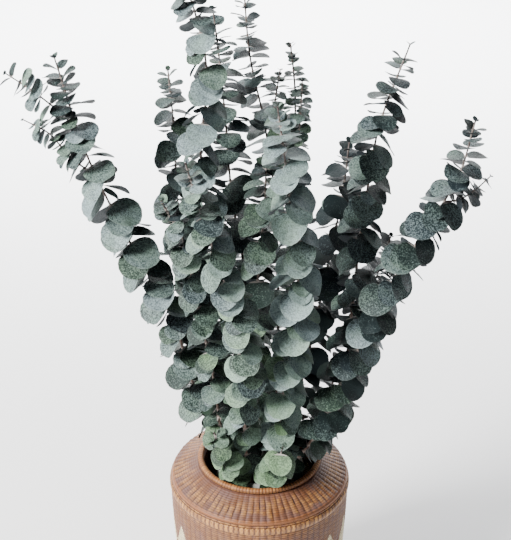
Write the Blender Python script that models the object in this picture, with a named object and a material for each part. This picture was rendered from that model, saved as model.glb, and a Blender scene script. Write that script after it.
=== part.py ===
"""Eucalyptus stems standing in a round woven vase.

Fourteen stems of round-leaved eucalyptus, and three short sprigs at the mouth, stand in a liner
inside a woven vase.  Each stem is one solid with the leaves that grow on it.  The vase is a
wall with a floor, a sloping shoulder, a bound mouth ring, a plaited band and a foot band.
Metres, +Z up.  The origin is the middle of the vase's underside, and the front looks to -Y.
"""
import math
import random
from typing import NamedTuple

import bmesh
import bpy
import numpy as np
from mathutils import Matrix, Vector
from mathutils.bvhtree import BVHTree

MM = 0.001
GAP = 0.3 * MM

# Vase
VASE_HEIGHT = 240 * MM
BASE_RADIUS = 83 * MM
SHOULDER_RADIUS = 99 * MM
SHOULDER_EDGE_HEIGHT = 216.5 * MM
WALL = 5 * MM
FLOOR = 6 * MM
MOUTH_RING_INNER = 62 * MM
MOUTH_RING_OUTER = 69 * MM
MOUTH_RING_DEPTH = 6 * MM
BAND_DROP = 3 * MM
BAND_HEIGHT = 8 * MM
BAND_DEPTH = 2.2 * MM
BAND_BEVEL = 2 * MM
FOOT_BAND_HEIGHT = 12 * MM
SHOULDER_THICKNESS = 3.5 * MM
SHOULDER_ROLL = 1.5 * MM
LINER_RADIUS = 48 * MM
LINER_WALL = 2 * MM
LINER_HEEL = 3 * MM
LINER_RIM_HEIGHT = 233 * MM
TURN_STEPS = 40

# Stems
STEM_FOOT_RADIUS = 2.1 * MM
STEM_TIP_RADIUS = 0.75 * MM
TWIG_FOOT_RADIUS = 1.0 * MM
TWIG_TIP_RADIUS = 0.6 * MM
STEM_CORNER = 1.25
TWIG_PITCH = 1.0
COLLAR = 1.2 * MM
RING_STEP = 45 * MM
CLEAR_STEP = 10 * MM
AXIS_STEP = 2 * MM
FOOT_TURN = math.radians(110)
FOOT_SPREAD = 0.9
STRAIGHT_SHARE = 0.65
STEM_FOOT_HEIGHT = FLOOR + LINER_WALL + 2 * GAP

# Leaves
LEAF_SIDES = 8
LEAF_THICKNESS = 1.5 * MM
LEAF_WIDTH = 1.12
LEAF_LOBE = 0.12
LEAF_CUP = 0.07
LEAF_CURL = 0.10
LEAF_THICK_PLACE = 0.38
LEAF_CLEARANCE = 0.55 * MM
LOW_LEAF = 0.86
FULL_LEAF_SHARE = 0.45
SMALLEST = 0.84
LARGEST = 1.08
TIP_LEAF = 0.30
TIP_PITCH = 0.64
TIP_POWER = 9.0
PITCH_POWER = 5.0
TIP_RISE = math.radians(-50)
RISE_POWER = 9
LEVEL_POWER = 7
LOW_DROOP = 0.55
DROOP_GAIN = 0.6
REACH_SHARE = 0.6
HEADING_STEP = 3 * MM
TWIG_START = 12 * MM
TWIG_ROLL = 20
TWIG_DROOP = 5
TIP_MARGIN = 1.5 * MM
SMALL_LEAF = 18 * MM
SMALL_LEAF_SIDES = 6
TRIES = 70
FIRST_SEED = 100
PAIR_SPREAD = 9
TURN_SPREAD = (8, 26)
DROOP_SPREAD = (12, 36)
TILT_SPREAD = (16, 24)
SHRINK = 0.4

VIEWER = Vector((0, -1, 0))


class Twig(NamedTuple):
    """A side shoot: the height in mm where it leaves its stem, and its route in mm."""

    height: float
    route: tuple
    leaf: float


class Stem(NamedTuple):
    """A leafy stem: where it passes the mouth, its route above, and how its leaves sit (mm, deg)."""

    name: str
    mouth: tuple
    route: tuple
    leaf: float
    first: float
    pitch: float
    roll: float
    droop: float
    twigs: tuple = ()


STEMS = (
    Stem("stem_front_right", (20, -25), ((24, -48, 340), (35, -68, 440), (36, -80, 515),
         (26, -88, 600), (15, -95, 680)), 34, 262, 23, 0, 36),
    Stem("stem_front_left", (-12, -27), ((-16, -58, 340), (-15, -84, 425), (-34, -108, 515),
         (-50, -128, 580), (-65, -142, 645)), 30, 262, 22, 40, 38),
    Stem("stem_far_left", (-35, 15), ((-60, 10, 285), (-92, -5, 415), (-130, -20, 510),
         (-165, -30, 605), (-190, -32, 706)), 36, 285, 24, 45, 32,
         (Twig(635, ((-192, -31, 655), (-211, -32, 672), (-236, -36, 692)), 22),
          Twig(585, ((-182, -30, 606), (-200, -38, 634), (-222, -45, 650)), 17))),
    Stem("stem_far_right", (34, -25), ((70, -42, 312), (96, -50, 390), (116, -60, 455),
         (155, -70, 545), (184, -75, 606), (195, -75, 660)), 33, 285, 23, 45, 32,
         (Twig(578, ((186, -68, 578), (202, -60, 584), (218, -56, 598)), 18),)),
    Stem("stem_right", (41, -10), ((68, -10, 285), (90, -15, 360), (96, -20, 455),
         (105, -20, 565), (113, -20, 630), (139, -20, 715)), 32, 290, 23, 10, 34),
    Stem("stem_back_left", (-25, 30), ((-45, 32, 320), (-70, 30, 435), (-85, 30, 535),
         (-86, 30, 610), (-90, 26, 676)), 31, 330, 24, 20, 32),
    Stem("stem_tall_left", (-12, 10), ((-35, 6, 430), (-55, -4, 560), (-58, -10, 612),
         (-50, -10, 675), (-60, -10, 740), (-82, -10, 800)), 31, 350, 24, 5, 38),
    Stem("stem_tall_middle", (-7, 41), ((-15, 46, 435), (-30, 50, 540), (-35, 50, 615),
         (-40, 50, 675), (-46, 50, 730)), 31, 370, 24, 80, 12),
    Stem("stem_top_centre", (12, 40), ((20, 62, 425), (14, 76, 540), (4, 82, 605),
         (-10, 86, 670), (-16, 86, 738)), 27, 390, 24, 80, 2),
    Stem("stem_right_dark", (27, 4), ((58, 20, 385), (75, 28, 480), (86, 30, 550),
         (90, 30, 600)), 36, 320, 24, 30, 32),
    Stem("stem_centre", (0, -5), ((-5, -22, 415), (0, -34, 505), (4, -40, 555),
         (6, -45, 618)), 30, 330, 24, 15, 36),
    Stem("stem_inner_left", (-35, -12), ((-52, -30, 380), (-66, -42, 465), (-72, -60, 525),
         (-92, -84, 584)), 28, 310, 23, 50, 32),
    Stem("stem_short_right", (39, 15), ((84, 42, 310), (110, 58, 375), (130, 64, 435),
         (142, 66, 478)), 31, 305, 23, 50, 28),
    Stem("stem_small_leaved", (27, 31), ((36, 42, 435), (35, 50, 550), (36, 55, 600),
         (35, 55, 650), (30, 55, 694)), 18, 450, 21, 75, 4,
         (Twig(560, ((40, 46, 605), (41, 40, 632), (42, 40, 662)), 15),
          Twig(540, ((20, 44, 600), (15, 40, 628), (20, 40, 672)), 15))),
    Stem("sprig_mouth_left", (-23, -35), ((-32, -50, 262), (-40, -58, 288), (-48, -64, 312)),
         26, 240, 15, 10, 34),
    Stem("sprig_mouth_front", (10, -41), ((15, -57, 259), (20, -68, 280), (24, -76, 302)),
         30, 243, 14, 8, 50),
    Stem("sprig_mouth_right", (41, 2), ((66, 2, 268), (84, -4, 296), (98, -8, 326)),
         29, 246, 16, 40, 30),
)

WEAVE_BROWN = (0.33, 0.16, 0.07)
BAND_ORANGE = (0.48, 0.20, 0.06)
LINER_CREAM = (0.72, 0.68, 0.58)
LEAF_GREEN = (0.16, 0.27, 0.25)


def material(name, colour, roughness):
    """A Principled material with one colour."""
    made = bpy.data.materials.new(name)
    made.use_nodes = True
    shader = made.node_tree.nodes["Principled BSDF"]
    shader.inputs["Base Color"].default_value = (*colour, 1.0)
    shader.inputs["Roughness"].default_value = roughness
    shader.inputs["Metallic"].default_value = 0.0
    return made


def add_object(name, bm, finish=None):
    """Put a bmesh in the scene as an object with its own mesh."""
    mesh = bpy.data.meshes.new(name)
    bm.to_mesh(mesh)
    bm.free()
    made = bpy.data.objects.new(name, mesh)
    bpy.context.scene.collection.objects.link(made)
    if finish:
        mesh.materials.append(finish)
    return made


def turned(name, profile, finish, closed):
    """Turn a profile of (radius, height) round Z; a closed profile makes a ring."""
    bm = bmesh.new()
    verts = [bm.verts.new((radius, 0, height)) for radius, height in profile]
    edges = [bm.edges.new(pair) for pair in zip(verts, verts[1:])]
    if closed:
        edges.append(bm.edges.new((verts[-1], verts[0])))
    bmesh.ops.spin(bm, geom=verts + edges, axis=(0, 0, 1), cent=(0, 0, 0),
                   angle=2 * math.pi, steps=TURN_STEPS, use_merge=True)
    bmesh.ops.remove_doubles(bm, verts=bm.verts, dist=0.01 * MM)
    bmesh.ops.recalc_face_normals(bm, faces=bm.faces)
    made = add_object(name, bm, finish)
    made.data.shade_smooth()
    made.data.set_sharp_from_angle(angle=math.radians(35))
    return made


def wall_radius(height):
    """Outer radius of the vase's wall at a height: widest at the shoulder, with a soft belly."""
    rise = height / SHOULDER_EDGE_HEIGHT
    return BASE_RADIUS + (SHOULDER_RADIUS - BASE_RADIUS) * math.sin(rise * math.pi / 2)


def band_profile(inner, low, top):
    """The section of a band round the wall: flat inside, bevelled outside."""
    outer = inner + BAND_DEPTH
    return [(inner, low), (outer, low + BAND_BEVEL), (outer, top - BAND_BEVEL), (inner, top)]


def make_vase():
    """The vase's own pieces, from the floor up; returns them for the leaves to keep clear of."""
    brown = material("woven_cane", WEAVE_BROWN, 0.6)
    orange = material("plaited_cane", BAND_ORANGE, 0.55)
    cream = material("liner", LINER_CREAM, 0.4)
    top = SHOULDER_EDGE_HEIGHT
    outer = [(wall_radius(top * step / 4), top * step / 4) for step in range(5)]
    inner = [(wall_radius(top * step / 2) - WALL, max(top * step / 2, FLOOR)) for step in (2, 1, 0)]
    turned("vase_wall", [(0, 0)] + outer + inner + [(0, FLOOR)], brown, False)

    ring_low = VASE_HEIGHT - MOUTH_RING_DEPTH
    slope_top = ring_low - GAP
    lip = MOUTH_RING_INNER + GAP
    slope = [(SHOULDER_RADIUS, top + GAP),
             (SHOULDER_RADIUS - SHOULDER_ROLL, top + 2 * SHOULDER_ROLL),
             (MOUTH_RING_OUTER, slope_top), (lip, slope_top),
             (lip, slope_top - SHOULDER_THICKNESS), (SHOULDER_RADIUS - WALL, top + GAP)]
    shoulder = turned("vase_shoulder", slope, brown, True)

    middle = (MOUTH_RING_INNER + MOUTH_RING_OUTER) / 2
    half = (MOUTH_RING_OUTER - MOUTH_RING_INNER) / 2
    section = []
    for step in range(6):
        turn = step * math.pi / 3
        rise = (1 + math.sin(turn) / math.sin(math.pi / 3)) / 2
        section.append((middle + half * math.cos(turn), ring_low + MOUTH_RING_DEPTH * rise))
    mouth = turned("mouth_ring", section, brown, True)

    band_top = top - BAND_DROP
    turned("plaited_band", band_profile(SHOULDER_RADIUS + GAP, band_top - BAND_HEIGHT, band_top),
           orange, True)
    foot_inner = wall_radius(FOOT_BAND_HEIGHT) + GAP
    turned("foot_band", band_profile(foot_inner, GAP, FOOT_BAND_HEIGHT), brown, True)

    low = FLOOR + GAP
    floor = low + LINER_WALL
    inside = LINER_RADIUS - LINER_WALL
    liner = turned("vase_liner", [(0, low), (LINER_RADIUS - LINER_HEEL, low),
                                  (LINER_RADIUS, low + LINER_HEEL),
                                  (LINER_RADIUS, LINER_RIM_HEIGHT), (inside, LINER_RIM_HEIGHT),
                                  (inside, floor + LINER_WALL), (inside - LINER_WALL, floor),
                                  (0, floor)], cream, False)
    return [shoulder, mouth, liner]


class Axis:
    """A smooth line through a stem's route, read by its length from the foot."""

    def __init__(self, points):
        points = np.array(points, float)
        steps = np.diff(points, axis=0)
        spans = np.linalg.norm(steps, axis=1)
        slopes = steps / spans[:, None]
        lean = np.vstack([slopes[:1], slopes, slopes[-1:]])
        reach = np.concatenate([spans[:1], spans, spans[-1:]])
        tangents = (lean[:-1] * reach[1:, None] + lean[1:] * reach[:-1, None])
        tangents /= (reach[1:] + reach[:-1])[:, None]
        line = []
        for low, high, span, start, end in zip(points, points[1:], spans, tangents, tangents[1:]):
            for t in np.arange(0, 1, AXIS_STEP / span):
                line.append((2 * t**3 - 3 * t**2 + 1) * low + (t**3 - 2 * t**2 + t) * span * start
                            + (3 * t**2 - 2 * t**3) * high + (t**3 - t**2) * span * end)
        line.append(points[-1])
        self.line = np.array(line)
        hops = np.linalg.norm(np.diff(self.line, axis=0), axis=1)
        self.along = np.concatenate([[0], np.cumsum(hops)])
        self.length = float(self.along[-1])

    def at(self, place):
        """The point at a length from the foot."""
        return Vector([float(np.interp(place, self.along, self.line[:, side])) for side in range(3)])

    def heading(self, place):
        """The direction of growth at a length from the foot."""
        return (self.at(place + HEADING_STEP) - self.at(place - HEADING_STEP)).normalized()

    def at_height(self, height):
        """The length from the foot where the stem first passes a height."""
        return float(self.along[int(np.argmax(self.line[:, 2] >= height))])


class Shoot(NamedTuple):
    """One axis, the radii at its two ends, how its leaves grow, and if its foot is cut level."""

    axis: Axis
    foot: float
    tip: float
    start: float
    leaf: float
    pitch: float
    roll: float
    droop: float
    cut_level: bool

    def radius(self, place):
        """The shoot's radius at a length from its foot."""
        return self.foot + (self.tip - self.foot) * place / self.axis.length


def shoots_of(stem):
    """The stem's main shoot and its twigs."""
    across, along = (side * MM for side in stem.mouth)
    foot_x = FOOT_SPREAD * (across * math.cos(FOOT_TURN) - along * math.sin(FOOT_TURN))
    foot_y = FOOT_SPREAD * (across * math.sin(FOOT_TURN) + along * math.cos(FOOT_TURN))
    foot = Vector((foot_x, foot_y, STEM_FOOT_HEIGHT))
    mouth = Vector((across, along, LINER_RIM_HEIGHT))
    route = [tuple(foot), tuple(foot.lerp(mouth, STRAIGHT_SHARE)), tuple(mouth)]
    route += [tuple(side * MM for side in point) for point in stem.route]
    axis = Axis(route)
    main = Shoot(axis, STEM_FOOT_RADIUS, STEM_TIP_RADIUS, axis.at_height(stem.first * MM),
                 stem.leaf * MM, stem.pitch * MM, stem.roll, stem.droop, True)
    shoots = [main]
    for twig in stem.twigs:
        leaves_at = axis.at(axis.at_height(twig.height * MM))
        twig_axis = Axis([tuple(leaves_at)] + [tuple(side * MM for side in point)
                                               for point in twig.route])
        shoots.append(Shoot(twig_axis, TWIG_FOOT_RADIUS, TWIG_TIP_RADIUS, TWIG_START,
                            twig.leaf * MM, TWIG_PITCH * twig.leaf * MM, TWIG_ROLL, TWIG_DROOP,
                            False))
    return shoots


def ring_frame(shoot, place, turn, radius):
    """A ring's own frame: +Z along the growth, +X turned round it from the viewer's side."""
    growth = shoot.axis.heading(place) if place > 0 or not shoot.cut_level else Vector((0, 0, 1))
    toward = (VIEWER - VIEWER.dot(growth) * growth).normalized()
    across = growth.cross(toward)
    base = Matrix((toward, across, growth)).transposed().to_4x4()
    frame = Matrix.Translation(shoot.axis.at(place)) @ base
    return frame @ Matrix.Rotation(turn, 4, "Z") @ Matrix.Diagonal((radius, radius, radius, 1))


def bare_places(shoot, places, step):
    """The lengths where the tube bends between its nodes, about a step apart."""
    marks = [0.0] + places + [shoot.axis.length]
    bends = []
    for low, high in zip(marks, marks[1:]):
        count = max(1, round((high - low) / step))
        bends += [low + (high - low) * bend / count for bend in range(1, count)]
    return bends


def tube(shoot, nodes=(), swell=0.0, step=RING_STEP):
    """A four-sided tube along a shoot; returns it with the four side faces of every node.

    A node is a length from the foot with the turn of its first leaf.  Its short collar has a
    flat side for each leaf of the pair, and a quarter turn between pairs keeps the sides in line.
    """
    quarter = math.pi / 2
    bends = bare_places(shoot, [node[0] for node in nodes], step)
    rings = [(place, None) for place in bends]
    rings += [(0.0, None), (shoot.axis.length, None)]
    for place, turn in nodes:
        rings += [(place - COLLAR / 2, turn), (place + COLLAR / 2, turn)]
    rings.sort(key=lambda ring: ring[0])
    bm = bmesh.new()
    collars = []
    face_turn = 0.0
    before = None
    edges = []
    for place, turn in rings:
        if turn is not None:
            face_turn = (turn + quarter / 2) % quarter - quarter / 2
        radius = STEM_CORNER * (shoot.radius(place) + swell)
        frame = ring_frame(shoot, place, face_turn + quarter / 2, radius)
        if before is None:
            made = bmesh.ops.create_circle(bm, segments=4, radius=1.0, cap_ends=True, matrix=frame)
            edges = list({edge for vert in made["verts"] for edge in vert.link_edges})
        else:
            made = bmesh.ops.extrude_edge_only(bm, edges=edges)["geom"]
            edges = [item for item in made if isinstance(item, bmesh.types.BMEdge)
                     and not any(vert not in made for vert in item.verts)]
            verts = [item for item in made if isinstance(item, bmesh.types.BMVert)]
            bmesh.ops.transform(bm, matrix=frame @ before[0].inverted(), verts=verts)
            if turn is not None and before[1] == turn:
                collars.append([item for item in made if isinstance(item, bmesh.types.BMFace)])
        before = (frame, turn)
    bmesh.ops.contextual_create(bm, geom=edges)
    bmesh.ops.recalc_face_normals(bm, faces=bm.faces)
    return bm, collars


def leaf_outline(turn, length):
    """A point of the round leaf's edge; turn runs from 0 at the root through pi at the apex."""
    back = LEAF_LOBE * math.sin(turn) ** 2 * (1 + math.cos(turn)) / 2
    return length * ((1 - math.cos(turn)) / 2 - back), length * LEAF_WIDTH / 2 * math.sin(turn)


def leaf_height(along, across, length):
    """How far the leaf's middle surface stands above its chord: a shallow cup that curls down."""
    return (LEAF_CUP * across**2 - LEAF_CURL * along**2) / length * 2


def outline_turns(length):
    """Where the edge's points lie: one at the root, then round by way of the apex."""
    sides = SMALL_LEAF_SIDES if length < SMALL_LEAF else LEAF_SIDES
    return [2 * math.pi * step / sides for step in range(sides)]


def blade(length, swell):
    """A leaf as a swollen lens of its own, which shows the room that it needs."""
    bm = bmesh.new()
    bmesh.ops.create_uvsphere(bm, u_segments=LEAF_SIDES, v_segments=2, radius=1.0)
    for vert in bm.verts:
        if abs(vert.co.z) > 0.5:
            along = LEAF_THICK_PLACE * length
            lift = math.copysign(LEAF_THICKNESS / 2 + swell, vert.co.z)
            vert.co = (along, 0, leaf_height(along, 0, length) + lift)
        else:
            turn = math.atan2(vert.co.y, -vert.co.x)
            along, across = leaf_outline(turn, length)
            height = leaf_height(along, across, length)
            side = Vector((along - length / 2, across, 0)).normalized() * swell
            vert.co = Vector((along, across, height)) + side
    bmesh.ops.recalc_face_normals(bm, faces=bm.faces)
    return bm


class Pose(NamedTuple):
    """How one leaf stands: its turn round the stem, droop, tilt about its own rib, and length."""

    turn: float
    droop: float
    tilt: float
    length: float


def leaf_matrix(shoot, place, pose):
    """The leaf's own frame: +X from root to apex, +Z its upper side."""
    growth = shoot.axis.heading(place)
    toward = (VIEWER - VIEWER.dot(growth) * growth).normalized()
    out = Matrix.Rotation(pose.turn, 3, growth) @ toward
    side = growth.cross(out)
    rib = math.cos(pose.droop) * out - math.sin(pose.droop) * growth
    face = math.cos(pose.droop) * growth + math.sin(pose.droop) * out
    turn = Matrix.Rotation(pose.tilt, 3, rib)
    root = shoot.axis.at(place) + shoot.radius(place) * out
    frame = Matrix((rib, turn @ side, turn @ face)).transposed().to_4x4()
    frame.translation = root
    return frame


class Growing:
    """The leaves placed so far, which the next leaf keeps clear of."""

    def __init__(self, fixed):
        self.fixed = fixed
        self.stems = {}
        self.centres = []
        self.reaches = []
        self.trees = []

    def clear(self, owner, frame, length):
        """Whether a leaf there stays off everything but its own stem."""
        wide = blade(length, LEAF_CLEARANCE)
        wide.transform(frame)
        wide_tree = BVHTree.FromBMesh(wide)
        wide.free()
        if any(wide_tree.overlap(tree) for tree in self.fixed):
            return False
        if any(wide_tree.overlap(tree) for name, tree in self.stems.items() if name != owner):
            return False
        if not self.centres:
            return True
        centre = frame @ Vector((length / 2, 0, 0))
        apart = np.linalg.norm(np.array(self.centres) - np.array(centre), axis=1)
        close = np.nonzero(apart < np.array(self.reaches) + REACH_SHARE * length)[0]
        return not any(wide_tree.overlap(self.trees[index]) for index in close)

    def add(self, frame, length):
        """Keep the place of a leaf."""
        bm = blade(length, 0)
        bm.transform(frame)
        self.trees.append(BVHTree.FromBMesh(bm))
        bm.free()
        self.centres.append(tuple(frame @ Vector((length / 2, 0, 0))))
        self.reaches.append(REACH_SHARE * length)


def leaf_places(shoot):
    """The length from the foot and the share of the leafy stretch for each pair of leaves."""
    places = []
    place = shoot.start
    last = shoot.axis.length - TIP_MARGIN
    while place < last:
        share = (place - shoot.start) / (last - shoot.start)
        places.append((place, share))
        place += shoot.pitch * (1 - (1 - TIP_PITCH) * share**PITCH_POWER)
    return places


def strayed(rng, spread, loose):
    """An angle either way by chance: spread is its usual reach and what looseness adds (deg)."""
    return math.radians(rng.uniform(-1, 1) * (spread[0] + spread[1] * loose))


def grow_leaves(stem, shoot, growing, rng):
    """Place a shoot's leaves in opposite pairs, each pair a quarter turn on from the last.

    Returns a list of nodes, each with its length from the foot, its turn and its leaves.
    """
    nodes = []
    for number, (place, share) in enumerate(leaf_places(shoot)):
        size = shoot.leaf * (1 - (1 - TIP_LEAF) * share**TIP_POWER)
        size *= LOW_LEAF + (1 - LOW_LEAF) * min(1, share / FULL_LEAF_SHARE)
        droop = math.radians(shoot.droop) * (LOW_DROOP + DROOP_GAIN * share)
        droop *= 1 - share**LEVEL_POWER
        droop += TIP_RISE * share**RISE_POWER
        turn = math.radians(shoot.roll + 90 * number + rng.uniform(-PAIR_SPREAD, PAIR_SPREAD))
        leaves = []
        for half in (0, math.pi):
            for attempt in range(TRIES):
                loose = attempt / TRIES
                pose = Pose(turn + half + strayed(rng, TURN_SPREAD, loose),
                            droop + strayed(rng, DROOP_SPREAD, loose),
                            strayed(rng, TILT_SPREAD, loose),
                            size * rng.uniform(SMALLEST, LARGEST) * (1 - SHRINK * loose))
                frame = leaf_matrix(shoot, place, pose)
                if growing.clear(stem.name, frame, pose.length):
                    growing.add(frame, pose.length)
                    leaves.append((frame, pose.length))
                    break
        nodes.append((place, turn, leaves))
    return nodes


def raise_leaf(bm, collar, frame, length):
    """Replace a collar's nearest side with a leaf: a thin lens that grows from its corners."""
    out = frame.to_3x3() @ Vector((1, 0, 0))
    side = frame.to_3x3() @ Vector((0, 1, 0))
    upper = frame.to_3x3() @ Vector((0, 0, 1))
    middle = sum((face.calc_center_median() for face in collar), Vector()) / 4
    root = max(collar, key=lambda face: (face.calc_center_median() - middle).dot(out))
    centre = root.calc_center_median()
    corners = sorted(root.verts, key=lambda vert: (vert.co - centre).dot(side))
    left = sorted(corners[:2], key=lambda vert: (vert.co - centre).dot(upper))
    right = sorted(corners[2:], key=lambda vert: (vert.co - centre).dot(upper))
    collar.remove(root)
    bm.faces.remove(root)
    edge = []
    for turn in outline_turns(length)[1:]:
        along, across = leaf_outline(turn, length)
        edge.append(bm.verts.new(frame @ Vector((along, across, leaf_height(along, across, length)))))
    along = LEAF_THICK_PLACE * length
    for level, lift in enumerate((-LEAF_THICKNESS / 2, LEAF_THICKNESS / 2)):
        rim = [right[level]] + edge + [left[level]]
        if length < SMALL_LEAF:
            apex = len(rim) // 2
            for corner, half in ((rim[0], rim[1:apex + 1]), (rim[-1], rim[apex:-1])):
                for pair in zip(half, half[1:]):
                    bm.faces.new((corner, *pair))
            bm.faces.new((rim[0], rim[apex], rim[-1]))
            continue
        top = bm.verts.new(frame @ Vector((along, 0, leaf_height(along, 0, length) + lift)))
        for pair in zip(rim, rim[1:] + rim[:1]):
            bm.faces.new((top, *pair))
    bm.faces.new((right[0], right[1], edge[0]))
    bm.faces.new((left[0], left[1], edge[-1]))


def leafy_shoot(shoot, nodes):
    """A shoot with its leaves raised from the collars of its nodes, as one closed mesh."""
    kept = [node for node in nodes if node[2]]
    bm, collars = tube(shoot, [node[:2] for node in kept])
    for collar, node in zip(collars, kept):
        for frame, length in node[2]:
            raise_leaf(bm, collar, frame, length)
    bmesh.ops.recalc_face_normals(bm, faces=bm.faces)
    return bm


def fuse(made, twigs):
    """Join the stem's leafy twigs to it with one Boolean union, and remove them."""
    group = bpy.data.collections.new(made.name + "_twigs")
    bpy.context.scene.collection.children.link(group)
    for index, bm in enumerate(twigs):
        piece = add_object(f"{made.name}_twig_{index}", bm)
        bpy.context.scene.collection.objects.unlink(piece)
        group.objects.link(piece)
    union = made.modifiers.new("fuse", "BOOLEAN")
    union.operation = "UNION"
    union.operand_type = "COLLECTION"
    union.collection = group
    union.solver = "MANIFOLD"
    bpy.context.view_layer.objects.active = made
    bpy.ops.object.modifier_apply(modifier=union.name)
    for piece in list(group.objects):
        mesh = piece.data
        bpy.data.objects.remove(piece)
        bpy.data.meshes.remove(mesh)
    bpy.data.collections.remove(group)


def make_stems(vase_pieces):
    """All stems with their leaves, the front ones first."""
    green = material("eucalyptus", LEAF_GREEN, 0.55)
    fixed = []
    for piece in vase_pieces:
        bm = bmesh.new()
        bm.from_mesh(piece.data)
        fixed.append(BVHTree.FromBMesh(bm))
        bm.free()
    growing = Growing(fixed)
    grown = {stem.name: shoots_of(stem) for stem in STEMS}
    for name, shoots in grown.items():
        bm, _ = tube(shoots[0], swell=LEAF_CLEARANCE, step=CLEAR_STEP)
        growing.stems[name] = BVHTree.FromBMesh(bm)
        bm.free()
    for number, stem in enumerate(STEMS):
        rng = random.Random(FIRST_SEED + number)
        leafy = []
        for shoot in grown[stem.name]:
            leafy.append(leafy_shoot(shoot, grow_leaves(stem, shoot, growing, rng)))
        made = add_object(stem.name, leafy[0], green)
        if leafy[1:]:
            fuse(made, leafy[1:])


def main():
    """Empty the scene and build the vase and the stems."""
    for old in list(bpy.data.objects):
        bpy.data.objects.remove(old)
    make_stems(make_vase())


main()
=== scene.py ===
"""Eucalyptus stems in a round woven vase, dressed for the picture.

The stems grow again here by the rules and the seeds that the solids use, so every leaf of the
solids has a finer blade in its place, and the leaves that the solids leave out stand between
them.  The vase is woven in relief over the solid vase.  Metres, +Z up, front to -Y.
"""
from __future__ import annotations

import logging
import math
import random
from dataclasses import dataclass
from enum import Enum
from typing import Callable, Iterable, Mapping, NamedTuple, Sequence, Union

import bmesh
import bpy
import numpy as np
from mathutils import Matrix, Vector
from mathutils.bvhtree import BVHTree


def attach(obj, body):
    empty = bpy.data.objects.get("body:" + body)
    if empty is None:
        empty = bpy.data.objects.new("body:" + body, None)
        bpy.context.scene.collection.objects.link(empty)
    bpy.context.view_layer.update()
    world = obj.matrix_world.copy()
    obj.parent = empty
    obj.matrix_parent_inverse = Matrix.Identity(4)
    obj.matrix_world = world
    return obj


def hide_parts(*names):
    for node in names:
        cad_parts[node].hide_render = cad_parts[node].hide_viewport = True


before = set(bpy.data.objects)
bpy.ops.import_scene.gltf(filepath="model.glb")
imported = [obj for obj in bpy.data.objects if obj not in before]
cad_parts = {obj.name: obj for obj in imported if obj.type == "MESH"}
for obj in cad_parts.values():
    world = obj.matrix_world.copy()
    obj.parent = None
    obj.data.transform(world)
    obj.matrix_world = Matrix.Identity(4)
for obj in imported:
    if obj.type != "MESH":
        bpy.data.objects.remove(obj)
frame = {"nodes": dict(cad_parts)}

LOG = logging.getLogger("eucalyptus")
MM = 0.001
GAP = 0.3 * MM
VIEWER = Vector((0, -1, 0))
Colour = tuple[float, float, float]
Point = tuple[float, float, float]


class Mark(Enum):
    """The numbers that a piece's mesh carries for its finish."""

    RIM = "rim"
    UNDER = "under"
    # paleness of each leaf, partly painted shade: set lower on the stems at the right and on
    # leaves low on each stem
    BLOOM = "bloom"
    GREEN = "green"
    ALONG = "along"
    NODE = "node"


class Zone(Enum):
    """Which part of the vase a woven piece is; the value is its finish's name."""

    WALL = "woven_wall"
    SHOULDER = "woven_shoulder"
    BINDING = "bound_mouth"


def operation(kind: str, swapped: bool = False) -> Callable[..., Socket]:
    """Make a method of Socket that adds one Math node.

    Args:
        kind: the node's operation.
        swapped: whether the other value comes first.

    Returns:
        The method.
    """

    def method(self: Socket, *others: Feed) -> Socket:
        """Add the node for this output and the other value."""
        return self.sheet.math(kind, *((*others, self) if swapped else (self, *others)))

    return method


class Socket:
    """A node's output; sums with it add Math nodes."""

    __add__ = __radd__ = operation("ADD")
    __sub__ = operation("SUBTRACT")
    __rsub__ = operation("SUBTRACT", swapped=True)
    __mul__ = __rmul__ = operation("MULTIPLY")
    __truediv__ = operation("DIVIDE")
    __abs__ = operation("ABSOLUTE")
    fract = operation("FRACT")
    floor = operation("FLOOR")

    def __init__(self, sheet: Sheet, source: bpy.types.NodeSocket) -> None:
        """Keep the output and the sheet that it is on."""
        self.sheet = sheet
        self.source = source

    def clamp(self) -> Socket:
        """Return this output kept between 0 and 1."""
        return self.sheet.node("ShaderNodeClamp", {}, {"Value": self})

    def near(self) -> Socket:
        """Return how far this output is from the nearest whole number."""
        return 0.5 - abs(self.fract() - 0.5)

    def step(self, low: float, high: float) -> Socket:
        """Return a soft step that is 0 at low and 1 at high."""
        return self.sheet.node("ShaderNodeMapRange", {"interpolation_type": "SMOOTHSTEP"},
                               {"Value": self, "From Min": low, "From Max": high})


Feed = Union[Socket, float, Colour]


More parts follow.
